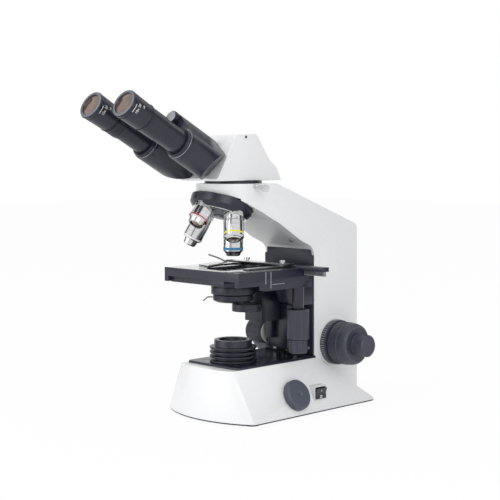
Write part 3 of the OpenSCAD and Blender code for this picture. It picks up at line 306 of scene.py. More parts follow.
# %% Finish every solid
EYE_BLACK = black_anodised("eyepiece", right_tube)
LEFT_BLACK = black_anodised("left_eyepiece", left_tube)
CONDENSER_BLACK = black_anodised("condenser", optical)
NOSE_BLACK = black_anodised("nosepiece", nose)
finishes = {
    "base_shell": WHITE, "arm_column": WHITE, "head_housing": WHITE,
    "bottom_plate": BLACK, "cover_plate": GLOSS_BLACK, "column_panel": BLACK, "stage_carrier": BLACK,
    "lower_stage_plate": BLACK, "xy_housing": BLACK, "condenser_carrier": BLACK,
    "collector_housing": CONDENSER_BLACK, "right_prism_housing": BLACK, "left_prism_housing": BLACK,
    "stage_plate": STAGE, "slide_holder": STAGE, "spring_finger": STAGE, "x_slide_bar": BLACK,
    "nosepiece_turret": NOSE_BLACK, "right_eye_tube": EYE_BLACK, "left_eye_tube": LEFT_BLACK,
    "right_eyepiece": EYE_BLACK, "left_eyepiece": LEFT_BLACK, "condenser_body": CONDENSER_BLACK,
    "filter_holder": CONDENSER_BLACK, "head_seat": CONDENSER_BLACK, "coarse_knobs": KNOB,
    "fine_knobs": KNOB, "tension_ring": KNOB, "brightness_knob": LAMP_KNOB, "y_knob": KNOB,
    "x_knob": KNOB, "condenser_knob": KNOB, "diopter_ring": EYE_BLACK, "hinge_shaft": EYE_BLACK,
    "nosepiece_seat": GREY_METAL, "limit_stop": GREY_METAL, "slide_rails": STEEL,
    "focus_rack": STEEL, "coarse_shaft": STEEL, "iris_lever": STEEL, "focus_bushings": BRONZE,
    "rubber_feet": RUBBER, "field_lens": FIELD_LENS, "objective_lenses": LENS,
    "condenser_lens": FIELD_LENS, "right_eye_lens": EYE_LENS, "left_eye_lens": EYE_LENS,
    "rocker": ROCKER, "power_inlet": ROCKER, "switch_frame": PALE, "driver_board": BOARD,
    "led_module": SINK, "holder_screws": satin_chrome("screw", optical),
    "head_lock_screw": satin_chrome("lock_screw", joint_frame("lock_screw_turn"))}
for name in OBJECTIVES:
    finishes[name] = satin_chrome(name, objective_frame(name))
for name, solid in nodes.items():
    solid.data.materials.clear()
    solid.data.materials.append(finishes[name])
print("finished solids:", len(finishes))

# %% [markdown]
# The turret is one turned part with two finishes: its grip is black and the cone under it is grey.
# A second material slot on the solid does that, given to the faces that look down along its axis.

# %% Two finishes on the turret
turret = nodes["nosepiece_turret"].data
turret.materials.append(GREY_METAL)
GRIP_EDGE, CONE_EDGE = 3.0, 31.0
for face in turret.polygons:
    centre = nose.inverted() @ face.center / MM
    if centre.z < GRIP_EDGE and hypot(centre.x, centre.y) < CONE_EDGE:
        face.material_index = 1
print("grey faces:", sum(face.material_index == 1 for face in turret.polygons))

# %% [markdown]
# ## Making new pieces
# A lathe turns an outline, a slab is a block with rounded edges, and a rounded copy of a solid
# softens the crisp edges that a casting never has. Each returns a mesh that `keep` turns into a
# named piece riding on one body of the microscope.

# %% Piece helpers
def keep(name, bm, body, finish, smooth=32):
    """Makes a piece from the mesh, smooth below an angle, and lets it ride on a body."""
    bmesh.ops.recalc_face_normals(bm, faces=bm.faces)
    mesh = bpy.data.meshes.new(name)
    bm.to_mesh(mesh)
    bm.free()
    mesh.materials.append(finish)
    mesh.shade_smooth()
    mesh.set_sharp_from_angle(angle=radians(smooth))
    made = bpy.data.objects.new(name, mesh)
    bpy.context.scene.collection.objects.link(made)
    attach(made, body)
    return made


def rounded(node, body, edge_mm, sharper_than=30, segments=3):
    """A copy of a solid with its sharp edges rounded, which stands for the solid."""
    bm = bmesh.new()
    bm.from_mesh(nodes[node].data)
    bmesh.ops.remove_doubles(bm, verts=bm.verts, dist=2e-6)
    bmesh.ops.dissolve_limit(bm, angle_limit=radians(1.5), verts=bm.verts, edges=bm.edges)
    sharp = [e for e in bm.edges if len(e.link_faces) == 2
             and e.calc_face_angle(0) > radians(sharper_than)]
    bmesh.ops.bevel(bm, geom=sharp, offset=edge_mm * MM, offset_type="OFFSET", segments=segments,
                    profile=0.5, affect="EDGES", clamp_overlap=True)
    made = keep(node + "_casting", bm, body, finishes[node])
    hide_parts(node)
    return made


# %% [markdown]
# A turned piece starts as a closed outline of radius and height, in millimetres. Blender's Screw or
# Spin would also turn it, but making the rings by hand lets any point carry a rib depth as a third
# number, and then the same lathe knurls a grip.

# %% Lathe
def lathe(outline, place, around=96, ribs=0, into=None):
    """Turns a closed outline of (radius, height, rib depth) about the frame's +Z."""
    bm = into or bmesh.new()
    rings = []
    for point in outline:
        radius, height = point[:2]
        depth = point[2] if len(point) > 2 else 0.0
        steps = 1 if radius == 0 else around
        ring = []
        for i in range(steps):
            angle = 2 * pi * i / steps
            reach = radius - depth * (0.5 + 0.5 * cos(ribs * angle)) ** 2
            spot = Vector((reach * cos(angle), reach * sin(angle), height)) * MM
            ring.append(bm.verts.new(place @ spot))
        rings.append(ring)
    for low, high in zip(rings, rings[1:] + rings[:1]):
        for i in range(around):
            ends = [low[i % len(low)], low[(i + 1) % len(low)],
                    high[(i + 1) % len(high)], high[i % len(high)]]
            corners = list(dict.fromkeys(ends))
            if len(corners) > 2:
                bm.faces.new(corners)
    return bm


def hoop(inner, outer, low, high, soft=0.15):
    """Outline of a plain ring with softened outer corners."""
    return [(inner, low), (outer - soft, low), (outer, low + soft), (outer, high - soft),
            (outer - soft, high), (inner, high)]


# %% [markdown]
# Printed marks are real, very thin bodies: a texture would need an image, and paint does stand a
# little proud. Blender's own font gives the numbers, and each point is bent round the barrel.

# %% Printed marks
def marks(spans, radius, place, proud=0.05, into=None):
    """Thin curved bars on a cylinder; each span is (turn from, turn to, low, high)."""
    bm = into or bmesh.new()
    for start, end, low, high in spans:
        steps = max(1, int(abs(end - start) / radians(6)))
        rows = []
        for i in range(steps + 1):
            angle = start + (end - start) * i / steps
            rows.append([bm.verts.new(place @ (Vector((r * cos(angle), r * sin(angle), h)) * MM))
                         for r, h in ((radius - proud, low), (radius + proud, low),
                                      (radius + proud, high), (radius - proud, high))])
        for a, b in zip(rows, rows[1:]):
            for k in range(4):
                bm.faces.new((a[k], a[(k + 1) % 4], b[(k + 1) % 4], b[k]))
        bm.faces.new(rows[0][::-1])
        bm.faces.new(rows[-1])
    return bm


def number(words, height, radius, place, turn, level, into, proud=0.05, upright=-1):
    """Characters bent round a cylinder, reading along the circumference."""
    curve = bpy.data.curves.new("number", "FONT")
    curve.body, curve.size, curve.extrude = words, height, proud
    curve.align_x = curve.align_y = "CENTER"
    holder = bpy.data.objects.new("number", curve)
    bpy.context.scene.collection.objects.link(holder)
    bpy.context.view_layer.update()
    flat = bpy.data.meshes.new_from_object(holder.evaluated_get(bpy.context.evaluated_depsgraph_get()))
    first = len(into.verts)
    into.from_mesh(flat)
    into.verts.ensure_lookup_table()
    for vert in into.verts[first:]:
        angle = turn + upright * vert.co.x / -radius
        reach = radius + vert.co.z
        spot = Vector((reach * cos(angle), reach * sin(angle), level - upright * vert.co.y))
        vert.co = place @ (spot * MM)
    bpy.data.objects.remove(holder)
    bpy.data.meshes.remove(flat)
    return into


# %% [markdown]
# ## Castings
# Real castings and mouldings have no knife edges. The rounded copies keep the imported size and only
# lose a millimetre or so at their edges, which is what catches the light.

# %% Round the castings
for node, body, slot, edge in (("arm_column", "stand", "white_enamel", 1.4),
                               ("base_shell", "stand", "white_enamel", 0.8),
                               ("head_housing", "head", "white_enamel", 1.2),
                               ("right_prism_housing", "right_tube", "black_enamel", 0.8),
                               ("left_prism_housing", "left_tube", "black_enamel", 0.8),
                               ("stage_plate", "y_slide", "stage_black", 0.5),
                               ("column_panel", "stand", "black_enamel", 0.6),
                               ("cover_plate", "stand", "black_enamel", 0.5),
                               ("collector_housing", "stand", "black_enamel", 0.7),
                               ("xy_housing", "y_slide", "black_enamel", 0.4),
                               ("stage_carrier", "stage", "black_enamel", 0.5),
                               ("lower_stage_plate", "stage", "black_enamel", 0.4),
                               ("condenser_carrier", "condenser", "black_enamel", 0.4),
                               ("x_slide_bar", "x_slide", "black_anodised", 0.3),
                               ("slide_holder", "x_slide", "stage_black", 0.3)):
    made = rounded(node, body, edge)
    print(made.name, "faces:", len(made.data.polygons))

# %% [markdown]
# Two castings wear two finishes. Only the top of the stage is lapped to a mirror, and its sides keep
# the satin black of the frame. The slide bar is black, and the rack that is cut under it is steel.

# %% Sides of the stage and rack of the slide bar
def second_finish(piece, finish, takes_it):
    """Gives a second material slot to the faces that a test picks."""
    mesh = bpy.data.objects[piece].data
    mesh.materials.append(finish)
    picked = [face for face in mesh.polygons if takes_it(face)]
    for face in picked:
        face.material_index = 1
    print(piece, "faces with a second finish:", len(picked))


BAR_UNDERSIDE = 166.0
second_finish("stage_plate_casting", BLACK, lambda face: face.normal.z < 0.9)
second_finish("x_slide_bar_casting", STEEL, lambda face: face.center.z < (BAR_UNDERSIDE - 0.1) * MM)

# %% [markdown]
# ## Objectives
# Each barrel wears the colour ring of its magnification, a knurled band to grip it by, and a black
# ring round its front lens. The chrome between them is left plain, as it is on the real barrels.

# %% Objective dress
def enamel_ring(name, tint):
    material, tree, shader, where = start_finish(name, tint)
    mottle(tree, shader, where, (tint, tint), 0.6, (0.28, 0.36))
    return material


RING_TINTS = {"red": "#b5302e", "yellow": "#e6dc55", "blue": "#3f86b4", "maroon": "#5b2a2c",
              "lilac": "#9686b4", "black": "#1b1c22", "white": "#e8e8e8"}
RINGS = {name: enamel_ring("ring_enamel_" + name, tint) for name, tint in RING_TINTS.items()}
BANDS = {"objective_4x": (("red", -19.6, -20.9), ("black", -25.4, -27.2)),
         "objective_10x": (("yellow", -27.6, -29.6), ("lilac", -31.2, -32.8)),
         "objective_40x": (("blue", -34.6, -37.8), ("maroon", -39.9, -41.2)),
         "objective_100x": (("white", -34.0, -36.0), ("black", -42.2, -43.8))}
POWERS = {"objective_4x": ("4", "0.10"), "objective_10x": ("10", "0.25"),
          "objective_40x": ("40", "0.65"), "objective_100x": ("100", "1.25")}


def barrel_profile(name):
    """Widest radius at each height of an objective's solid on its own axis, in millimetres."""
    place = objective_frame(name).inverted()
    widest = {}
    for vert in nodes[name].data.vertices:
        spot = place @ vert.co / MM
        height = round(spot.z, 1)
        widest[height] = max(widest.get(height, 0), hypot(spot.x, spot.y))
    return sorted(widest.items())


def radius_at(profile, height):
    """Radius between the two nearest heights of the profile."""
    below = max(p for p in profile if p[0] <= height)
    above = min(p for p in profile if p[0] > height)
    share = (height - below[0]) / (above[0] - below[0])
    return below[1] + share * (above[1] - below[1])


PROUD, RING_DEPTH = 0.1, 1.2
KNURL_ENDS, KNURL_DEPTH, KNURL_RIBS = (-5.6, -8.2), 0.4, 60
profiles = {name: barrel_profile(name) for name in BANDS}
barrels = {name: max(radius for height, radius in profiles[name]) for name in BANDS}
for name, bands in BANDS.items():
    place, profile, barrel = objective_frame(name), profiles[name], barrels[name]
    for tint, high, low in bands:
        top, bottom = radius_at(profile, high) + PROUD, radius_at(profile, low) + PROUD
        inner = min(top, bottom) - RING_DEPTH
        band = [(inner, low), (bottom, low), (top, high), (inner, high)]
        keep(name + "_" + tint + "_ring", lathe(band, place), "nosepiece", RINGS[tint])
    bm = bmesh.new()
    for low in KNURL_ENDS:
        grip = [(barrel - 1.5, low), (barrel + PROUD, low + 0.2, KNURL_DEPTH),
                (barrel + PROUD, low + 1.9, KNURL_DEPTH), (barrel - 1.5, low + 2.1)]
        lathe(grip, place, around=4 * KNURL_RIBS, ribs=KNURL_RIBS, into=bm)
    keep(name + "_knurl", bm, "nosepiece", finishes[name])
    print(name, "barrel radius:", round(barrel, 1), "length:", round(-profile[0][0], 1))

# %% [markdown]
# The inner lip of the turret is turned bright after anodising. It shows as a thin chrome arc where
# the black grip ends.

# %% Turret lip
lip = [(29.6, -3.3), (31.3, -3.35), (31.7, -2.9), (31.5, -2.4), (29.6, -2.3)]
keep("turret_lip", lathe(lip, nose), "nosepiece", satin_chrome("turret_lip", nose))
print("turret lip radius:", max(point[0] for point in lip))

# %% [markdown]
# Engraved figures on a barrel are filled with dark paint: the magnification and, below it, the
# numerical aperture. They face outwards from the turret, where a user can read them.

# %% Objective figures
INK = enamel_ring("engraving_paint", "#2b2c33")
POWER_SIZE, POWER_LEVEL = 2.8, -12.4
APERTURE_SIZE, APERTURE_LEVEL = 1.8, -16.0
ENGRAVED_BELOW = 0.45
for name, (power, aperture) in POWERS.items():
    place, skin = objective_frame(name), barrels[name] - ENGRAVED_BELOW
    bm = bmesh.new()
    for turn in (radians(-60), radians(60), pi):
        number(power, POWER_SIZE, skin, place, turn, POWER_LEVEL, bm)
        number(aperture, APERTURE_SIZE, skin, place, turn, APERTURE_LEVEL, bm)
    keep(name + "_figures", bm, "nosepiece", INK)
    print(name, "reads", power, "and", aperture)

# %% [markdown]
# The front of an objective is a black-lined recess behind a bright rim, with the front lens at its
# bottom. On the low powers the lens is wide and its coating turns the light golden.

# %% Objective fronts
FRONT_GLASS = coated_lens("coated_front_lens", "#97835c", "#5a4d38")
BORE_BLACK = enamel_ring("bore_black", "#15161b")
FRONTS = {"objective_4x": 6.5, "objective_10x": 6.5, "objective_40x": 3.0, "objective_100x": 2.5}
for name, bore in FRONTS.items():
    place, tip = objective_frame(name), profiles[name][0][0]
    cup = [(bore - 0.05, tip + 0.1), (bore + 0.5, tip - 0.08), (bore + 0.9, tip + 0.02),
           (bore + 0.9, tip + 0.3), (bore - 0.05, tip + 2.6)]
    keep(name + "_front_rim", lathe(cup, place), "nosepiece", BORE_BLACK)
    dome = [(0, tip + 1.0), (bore * 0.5, tip + 1.15), (bore * 0.86, tip + 1.7),
            (bore - 0.1, tip + 2.2), (bore - 0.1, tip + 2.6), (0, tip + 2.6)]
    keep(name + "_front_lens", lathe(dome, place), "nosepiece", FRONT_GLASS)
    print(name, "front bore radius:", bore)

# %% [markdown]
# ## Eyepieces
# The eyepieces carry white printed marks: a short arc and the magnification. Generic numbers are
# enough, because the marks are what the eye finds on the black barrel.

# %% Eyepiece marks
PRINT = enamel_ring("white_print", "#e6e6e6")
EYE_RADIUS = 15.7
RIM = max((right_tube.inverted() @ v.co).z for v in nodes["right_eyepiece"].data.vertices) / MM
print("eyepiece rim at mm along the hinge:", round(RIM, 1))
tubes = (("right", right_tube, "right_tube"), ("left", left_tube, "left_ocular"))
FIRST_LINE = ("10x 20", 4.2, radians(-8), RIM - 9.6)
SECOND_LINE = ("18", 3.6, radians(10), RIM - 15.4)
PRINTED_ARC = (radians(-32), radians(4), RIM - 5.9, RIM - 5.3)
for side, place, body in tubes:
    bm = bmesh.new()
    for words, height, turn, level in (FIRST_LINE, SECOND_LINE):
        number(words, height, EYE_RADIUS, place, turn, level, bm)
    marks([PRINTED_ARC], EYE_RADIUS - 0.6, place, proud=0.25, into=bm)
    keep(side + "_eyepiece_print", bm, body, PRINT)

# %% [markdown]
# The rim of an eyepiece is drawn as a paler flat ring: a painted highlight on the black anodising. A
# deep groove runs where the eyepiece meets its tube. The collar of the prism housing has a pale ring
# over a dark one: a painted highlight on its chamfer over a painted shadow. The eye lens is a shallow
# dome just inside the rim.

# %% Eyepiece rims and collars
# Paler anodising on the rim is a painted highlight; the paler metal paints highlights on the collars and
# the stage guide.
RIM_HIGHLIGHT = turned("painted_highlight_rim", ("#676973", "#7d7f89"), right_tube, 0.4, (0.24, 0.36))
PAINTED_HIGHLIGHT = turned("painted_highlight_metal", ("#a3a6b0", "#babdc6"), right_tube, 0.5, (0.2, 0.3))
FACE_INNER, FACE_OUTER, FACE_RISE = 12.2, 15.2, 0.05
GLASS_RADIUS, GLASS_BACK = 12.1, RIM - 2.6
GROOVE, BEAD, SHOULDER = RIM - 32.5, RIM - 30.2, RIM - 2.9
for side, place, body in tubes:
    top = [(FACE_INNER, RIM - 0.6), (FACE_OUTER, RIM - 0.6), (FACE_OUTER, RIM - 0.02),
           (14.7, RIM + FACE_RISE), (12.4, RIM + FACE_RISE)]
    keep(side + "_eyepiece_rim", lathe(top, place), body, RIM_HIGHLIGHT)
    dome = [(0, RIM - 0.5), (5, RIM - 0.62), (9, RIM - 0.95), (GLASS_RADIUS, RIM - 1.5),
            (GLASS_RADIUS, GLASS_BACK), (0, GLASS_BACK)]
    keep(side + "_eye_dome", lathe(dome, place), body, EYE_LENS)
    bm = lathe(hoop(12.7, 14.4, GROOVE, GROOVE + 1.5), place)
    keep(side + "_eyepiece_groove", bm, body, BORE_BLACK)
    bm = lathe(hoop(14.6, 15.45, BEAD, BEAD + 0.6, 0.2), place)
    lathe(hoop(15.2, 15.95, SHOULDER, SHOULDER + 1.2, 0.3), place, into=bm)
    keep(side + "_eyepiece_beads", bm, body, finishes["right_eyepiece"])
COLLAR_CHAMFER, COLLAR_SHADOW = RIM - 87.3, RIM - 90.8
for side, place, body in (("right", right_tube, "right_tube"), ("left", left_tube, "left_tube")):
    bm = lathe(hoop(16.9, 17.95, COLLAR_CHAMFER, COLLAR_CHAMFER + 0.5, 0.15), place)
    # The pale ring paints the highlight on the collar's chamfer, and the dark ring below it paints its
    # shadow.
    keep(side + "_collar_highlight_ring", bm, body, PAINTED_HIGHLIGHT)
    bm = lathe(hoop(17.0, 18.25, COLLAR_SHADOW, COLLAR_SHADOW + 0.9, 0.1), place)
    keep(side + "_collar_shadow", bm, body, BORE_BLACK)
    print(side, "collar at mm along the tube:", round(COLLAR_CHAMFER, 1))

# %% [markdown]
# The hinge of the two tubes ends in a cap. Its face is ground flat and pale, and a dark groove runs
# round it where it meets the housings.

# %% Hinge cap
cap_top = max((hinge.inverted() @ v.co).z for v in nodes["hinge_shaft"].data.vertices) / MM
CAP_RADIUS, CAP_RISE = 6.9, 0.15
GROOVE_INNER, GROOVE_OUTER, GROOVE_FROM, GROOVE_TO = 7.7, 8.15, cap_top - 4.2, cap_top - 3.2
cap = [(0, cap_top - 0.4), (CAP_RADIUS, cap_top - 0.4), (CAP_RADIUS, cap_top),
       (6.6, cap_top + CAP_RISE), (0, cap_top + CAP_RISE)]
keep("hinge_cap_face", lathe(cap, hinge), "head", GREY_METAL)
groove = [(GROOVE_INNER, GROOVE_FROM), (GROOVE_OUTER, GROOVE_FROM), (GROOVE_OUTER, GROOVE_TO),
          (GROOVE_INNER, GROOVE_TO)]
keep("hinge_cap_groove", lathe(groove, hinge), "head", BORE_BLACK)
print("hinge cap at mm:", round(cap_top, 1))

# %% [markdown]
# ## Grips
# Every knob is fluted so that it turns under a fingertip. The flutes are ribs on a lathe outline,
# and their height and radius are measured from the solid, so that they follow it.

# %% Measure a grip
def grip_of(node, place, share=0.93):
    """Lowest and highest point, and the radius, of the widest part of a turned solid, in mm."""
    spots = [place.inverted() @ v.co / MM for v in nodes[node].data.vertices]
    radius = max(hypot(s.x, s.y) for s in spots)
    heights = [s.z for s in spots if hypot(s.x, s.y) > share * radius]
    return min(heights), max(heights), radius


def fluted(low, high, radius, place, ribs, depth, into=None, proud=0.12, lead=0.8):
    """A band of flutes standing just proud of a turned grip."""
    inner = radius - depth - 1.2
    band = [(inner, low), (radius + proud, low + lead, depth), (radius + proud, high - lead, depth),
            (inner, high)]
    return lathe(band, place, around=6 * ribs, ribs=ribs, into=into)


# %% [markdown]
# The stage and condenser knobs are plain turned grips. One loop flutes all three, each about the
# axis of its own joint, and leaves half a millimetre plain at both ends.

# %% Stage and condenser knobs
PLAIN_END = 0.5
for node, joint, body, ribs in (("y_knob", "y_knob_turn", "y_control", 44),
                                ("x_knob", "x_knob_turn", "x_control", 36),
                                ("condenser_knob", "condenser_knob_turn", "condenser_control", 48)):
    place = joint_frame(joint, right=(0, 1, 0))
    low, high, radius = grip_of(node, place)
    flutes = fluted(low + PLAIN_END, high - PLAIN_END, radius, place, ribs, 0.5)
    keep(node + "_flutes", flutes, body, KNOB)
    print(node, "grip:", round(low, 1), "to", round(high, 1), "radius", round(radius, 1))

# %% [markdown]
# The lamp's knob is a flat disc that narrows towards its face. Its flutes follow that taper, so its
# outline is written out instead of using the straight band above.

# %% Lamp knob
LAMP_RIBS, LAMP_FLUTE = 48, 0.8
low, high, radius = grip_of("brightness_knob", lamp_knob)
edge = [(radius - 1.4, low + 0.2), (radius + 0.12, low + 0.6, LAMP_FLUTE),
        (radius - 0.25, high - 0.6, LAMP_FLUTE), (radius - 1.7, high - 0.1)]
flutes = lathe(edge, lamp_knob, around=6 * LAMP_RIBS, ribs=LAMP_RIBS)
keep("brightness_knob_flutes", flutes, "brightness", LAMP_KNOB)
print("brightness_knob radius", round(radius, 1), "flutes:", LAMP_RIBS)

# %% [markdown]
# The focus has a coarse and a fine grip on each side. The tension ring, on the right only, is a
# toothed wheel whose teeth are drawn in a paler grey: painted highlights. The coarse knob has fine ribs,
# and a bead and a step on it in paler grey nylon are painted highlights. The fine knob sits on a small
# collar, and that collar and a disc on its face are paler grey too, as painted highlights. A white boss
# of the arm carries them.

# %% Focus grips
# Paler grey on the teeth is a painted highlight on the black ring.
TOOTH_HIGHLIGHT = turned("painted_highlight_teeth", ("#9a9da6", "#adb0b8"), focus, 0.3, (0.3, 0.4))
tension_low, tension_high, tension_radius = grip_of("tension_ring", focus)
teeth = fluted(tension_low + 0.3, tension_high - 1.8, tension_radius, focus, 60, 5.0, proud=0.4)
keep("tension_ring_teeth", teeth, "tension", TOOTH_HIGHLIGHT)
COARSE_RADIUS, FINE_RADIUS = grip_of("coarse_knobs", focus)[2], grip_of("fine_knobs", focus)[2]
fine_high = grip_of("fine_knobs", focus)[1]
# Places along the shaft from the middle of the stand, in millimetres
BOSS_FROM, BOSS_TO, BOSS_RADIUS = 39.2, 41.3, 28.6
RIBS_FROM, RIBS_TO, RIB_COUNT = 53.0, 63.5, 110
BEAD_FROM, BEAD_TO = 64.4, 65.2
STEP_FROM, STEP_TO, STEP_RADIUS = 77.2, 77.7, 21.4
COLLAR_FROM, COLLAR_TO = 79.0, 80.0
DISC_RADIUS, DISC_RISE = 8.6, 0.1
mirror = Matrix.Rotation(pi, 4, "Y")
bosses, ribs, beads, highlight_collars = (bmesh.new() for _ in range(4))
disc = [(0, fine_high - 0.4), (DISC_RADIUS, fine_high - 0.4), (DISC_RADIUS, fine_high + DISC_RISE),
        (8.2, fine_high + 0.3), (7.6, fine_high + DISC_RISE), (0, fine_high + DISC_RISE)]
for place in (focus, focus @ mirror):
    lathe(hoop(18, BOSS_RADIUS, BOSS_FROM, BOSS_TO, 0.5), place, into=bosses)
    fluted(RIBS_FROM, RIBS_TO, COARSE_RADIUS - 0.05, place, RIB_COUNT, 0.35, into=ribs, proud=0.08)
    # The bead, the step, the collar and the face disc are paler grey nylon: painted highlights.
    lathe(hoop(23, COARSE_RADIUS + 0.1, BEAD_FROM, BEAD_TO, 0.3), place, into=beads)
    lathe(hoop(20, STEP_RADIUS, STEP_FROM, STEP_TO, 0.25), place, into=beads)
    lathe(hoop(10, FINE_RADIUS + 0.25, COLLAR_FROM, COLLAR_TO, 0.3), place, into=highlight_collars)
    lathe(disc, place, into=highlight_collars)
keep("focus_bosses", bosses, "stand", WHITE)
keep("coarse_knob_ribs", ribs, "coarse", KNOB)
keep("coarse_knob_highlight_beads", beads, "coarse", LAMP_KNOB)
keep("fine_knob_collars", highlight_collars, "fine", LAMP_KNOB)
print("coarse radius:", round(COARSE_RADIUS, 1), "fine radius:", round(FINE_RADIUS, 1))

# %% [markdown]
# Behind the condenser's knob a pale washer keeps its shaft from drifting.

# %% Condenser washer
place = joint_frame("condenser_knob_turn", right=(0, 1, 0))
WASHER_BORE, WASHER_RADIUS, WASHER_FROM, WASHER_TO = 4.2, 12.9, 14.1, 15.5
washer = [(WASHER_BORE, WASHER_FROM), (12.6, WASHER_FROM), (WASHER_RADIUS, 14.5),
          (WASHER_RADIUS, 15.1), (12.6, WASHER_TO), (WASHER_BORE, WASHER_TO)]
ACETAL = enamel_ring("acetal_washer", "#c9cac6")
keep("condenser_washer", lathe(washer, place), "condenser_control", ACETAL)
print("washer radius:", WASHER_RADIUS)

# %% [markdown]
# ## Small fittings
# A fitting that sits on a face is placed by shooting a line at the solid and reading where it lands
# and which way the face looks, the way one would hold a screw against the metal. Empties and a
# Shrinkwrap modifier could do it too, but this needs no extra objects.

# %% Place on a face
def on_face(node, start, towards):
    """Where a line from start, in mm, first lands on a solid, in mm, and the face's normal."""
    mesh = nodes[node].data
    tree = BVHTree.FromPolygons([v.co for v in mesh.vertices], [p.vertices[:] for p in mesh.polygons])
    spot, normal, _, _ = tree.ray_cast(Vector(start) * MM, Vector(towards).normalized())
    return spot / MM, normal


def bar(start, end, normal, width, height, into=None):
    """A slim chamfered bar along a line on a face; all sizes in mm."""
    bm = into or bmesh.new()
    start, end, up = Vector(start), Vector(end), Vector(normal).normalized()
    side = up.cross(end - start).normalized()
    half, top = width / 2, width / 2 - min(0.3 * height, 0.2 * width)
    section = ((-half, -0.3), (half, -0.3), (half, 0.6 * height), (top, height), (-top, height),
               (-half, 0.6 * height))
    rows = [[bm.verts.new((spot + side * across + up * rise) * MM) for across, rise in section]
            for spot in (start, end)]
    for k in range(len(section)):
        after = (k + 1) % len(section)
        bm.faces.new((rows[0][k], rows[0][after], rows[1][after], rows[1][k]))
    bm.faces.new(rows[0][::-1])
    bm.faces.new(rows[1])
    return bm


def screw(spot, normal, radius, into=None):
    """A low socket-head screw on a face."""
    head = [(0, 0.04 * radius), (0.42 * radius, 0.04 * radius), (0.5 * radius, 0.36 * radius),
            (0.86 * radius, 0.36 * radius), (radius, 0.22 * radius), (radius, -0.3), (0, -0.3)]
    return lathe(head, frame_on(Vector(spot) * MM, normal, right=(0, 0.3, 1)), around=36, into=into)


# %% [markdown]
# Each prism housing is two shells. The joint between them and a cover's edge run along the tube as
# narrow dark lines, and a small screw holds the cover.

# %% Housing joints
JOINT_GAP, JOINT_WIDTH, JOINT_RISE = 1.5, 0.55, 0.06
COVER_EDGE_WIDTH = 0.5
HOUSING_SCREW_RADIUS = 1.3


def on_side(sign, x, y, z):
    """A spot or direction written for the right side, mirrored where sign is -1."""
    return Vector((sign * x, y, z))


for side, sign in (("left", -1), ("right", 1)):
    lines, body = bmesh.new(), side + "_tube"
    under = on_side(sign, -0.89, -0.21, -0.4)
    for lift in (0.0, JOINT_GAP):
        first = on_side(sign, 11.5 - lift * 0.5, -103.0, 298.3 + lift)
        last = on_side(sign, 10.1 - lift * 0.3, -60.5, 278.7 + lift)
        bar(first, last, under, JOINT_WIDTH, JOINT_RISE, into=lines)
    bar(on_side(sign, 11.9, -86.2, 336.4), on_side(sign, 12.3, -62.0, 323.2),
        on_side(sign, 0.57, 0.39, 0.73), COVER_EDGE_WIDTH, JOINT_RISE, into=lines)
    keep(side + "_housing_joints", lines, body, BORE_BLACK)
    spot, facing = on_side(sign, 13.8, -107.7, 297.0), on_side(sign, -0.73, -0.32, -0.6)
    head = screw(spot, facing, HOUSING_SCREW_RADIUS)
    keep(side + "_housing_screw", head, body, BLACK)
    print(side, "housing: joint lines and one screw")

# %% [markdown]
# A set screw in the right side of the head, black in its socket, fixes the prism block. On the side
# of the stage guide, two pale metal strips and a thin pale line along it are painted highlights.

# %% Head screw and stage trim
SET_SCREW_Y, SET_SCREW_Z, SET_SCREW_RADIUS = -8.8, 318.1, 1.5
STAGE_SIDE, GUIDE_TOP, HIGHLIGHT_LINE_LEVEL = 61.0, 167.8, 153.3
GUIDE_HIGHLIGHTS = ((-8.6, 154.5), (-0.4, 149.0))
spot, facing = on_face("head_housing", (60, SET_SCREW_Y, SET_SCREW_Z), (-1, 0, 0))
keep("head_set_screw", screw(spot, facing, SET_SCREW_RADIUS), "head", BORE_BLACK)
trim = bmesh.new()
# Pale metal strips and a pale line on the guide: painted highlights.
for y, low in GUIDE_HIGHLIGHTS:
    bar((STAGE_SIDE, y, low), (STAGE_SIDE, y, GUIDE_TOP), (1, 0, 0), 0.9, 0.12, into=trim)
bar((STAGE_SIDE, 1.5, HIGHLIGHT_LINE_LEVEL), (STAGE_SIDE, 22.0, HIGHLIGHT_LINE_LEVEL), (1, 0, 0), 0.6, 0.1, into=trim)
keep("stage_guide_highlights", trim, "y_slide", PAINTED_HIGHLIGHT)
print("set screw at x in mm:", round(spot.x, 1))

# %% [markdown]
# The rocker is printed with a line for on and a ring for off. Both are placed on its two tilted
# faces, so that they tip with it.

# %% Switch marks
SWITCH_Y, ON_LEVEL, OFF_LEVEL, MARK_RISE = 78.0, 26.2, 18.6, 0.08
RING_INNER, RING_OUTER = 1.0, 1.7
half_line = Vector((0, 0, 1.6))
marks_of_switch = bmesh.new()
on_spot, on_normal = on_face("rocker", (90, SWITCH_Y, ON_LEVEL), (-1, 0, 0))
bar(on_spot - half_line, on_spot + half_line, on_normal, 0.7, MARK_RISE, into=marks_of_switch)
off_spot, off_normal = on_face("rocker", (90, SWITCH_Y, OFF_LEVEL), (-1, 0, 0))
ring = [(RING_INNER, -0.2), (RING_OUTER, -0.2), (RING_OUTER, MARK_RISE), (RING_INNER, MARK_RISE)]
lathe(ring, frame_on(off_spot * MM, off_normal, (0, 1, 0)), around=36, into=marks_of_switch)
keep("switch_marks", marks_of_switch, "switch", PRINT)
print("marks at x in mm:", round(on_spot.x, 1), round(off_spot.x, 1))

# %% [markdown]
# The unseen sides are finished too. Two screws hold the mains inlet, two the column's panel and
# four the bottom plate, and a plain rating plate without words is riveted to the back of the arm.

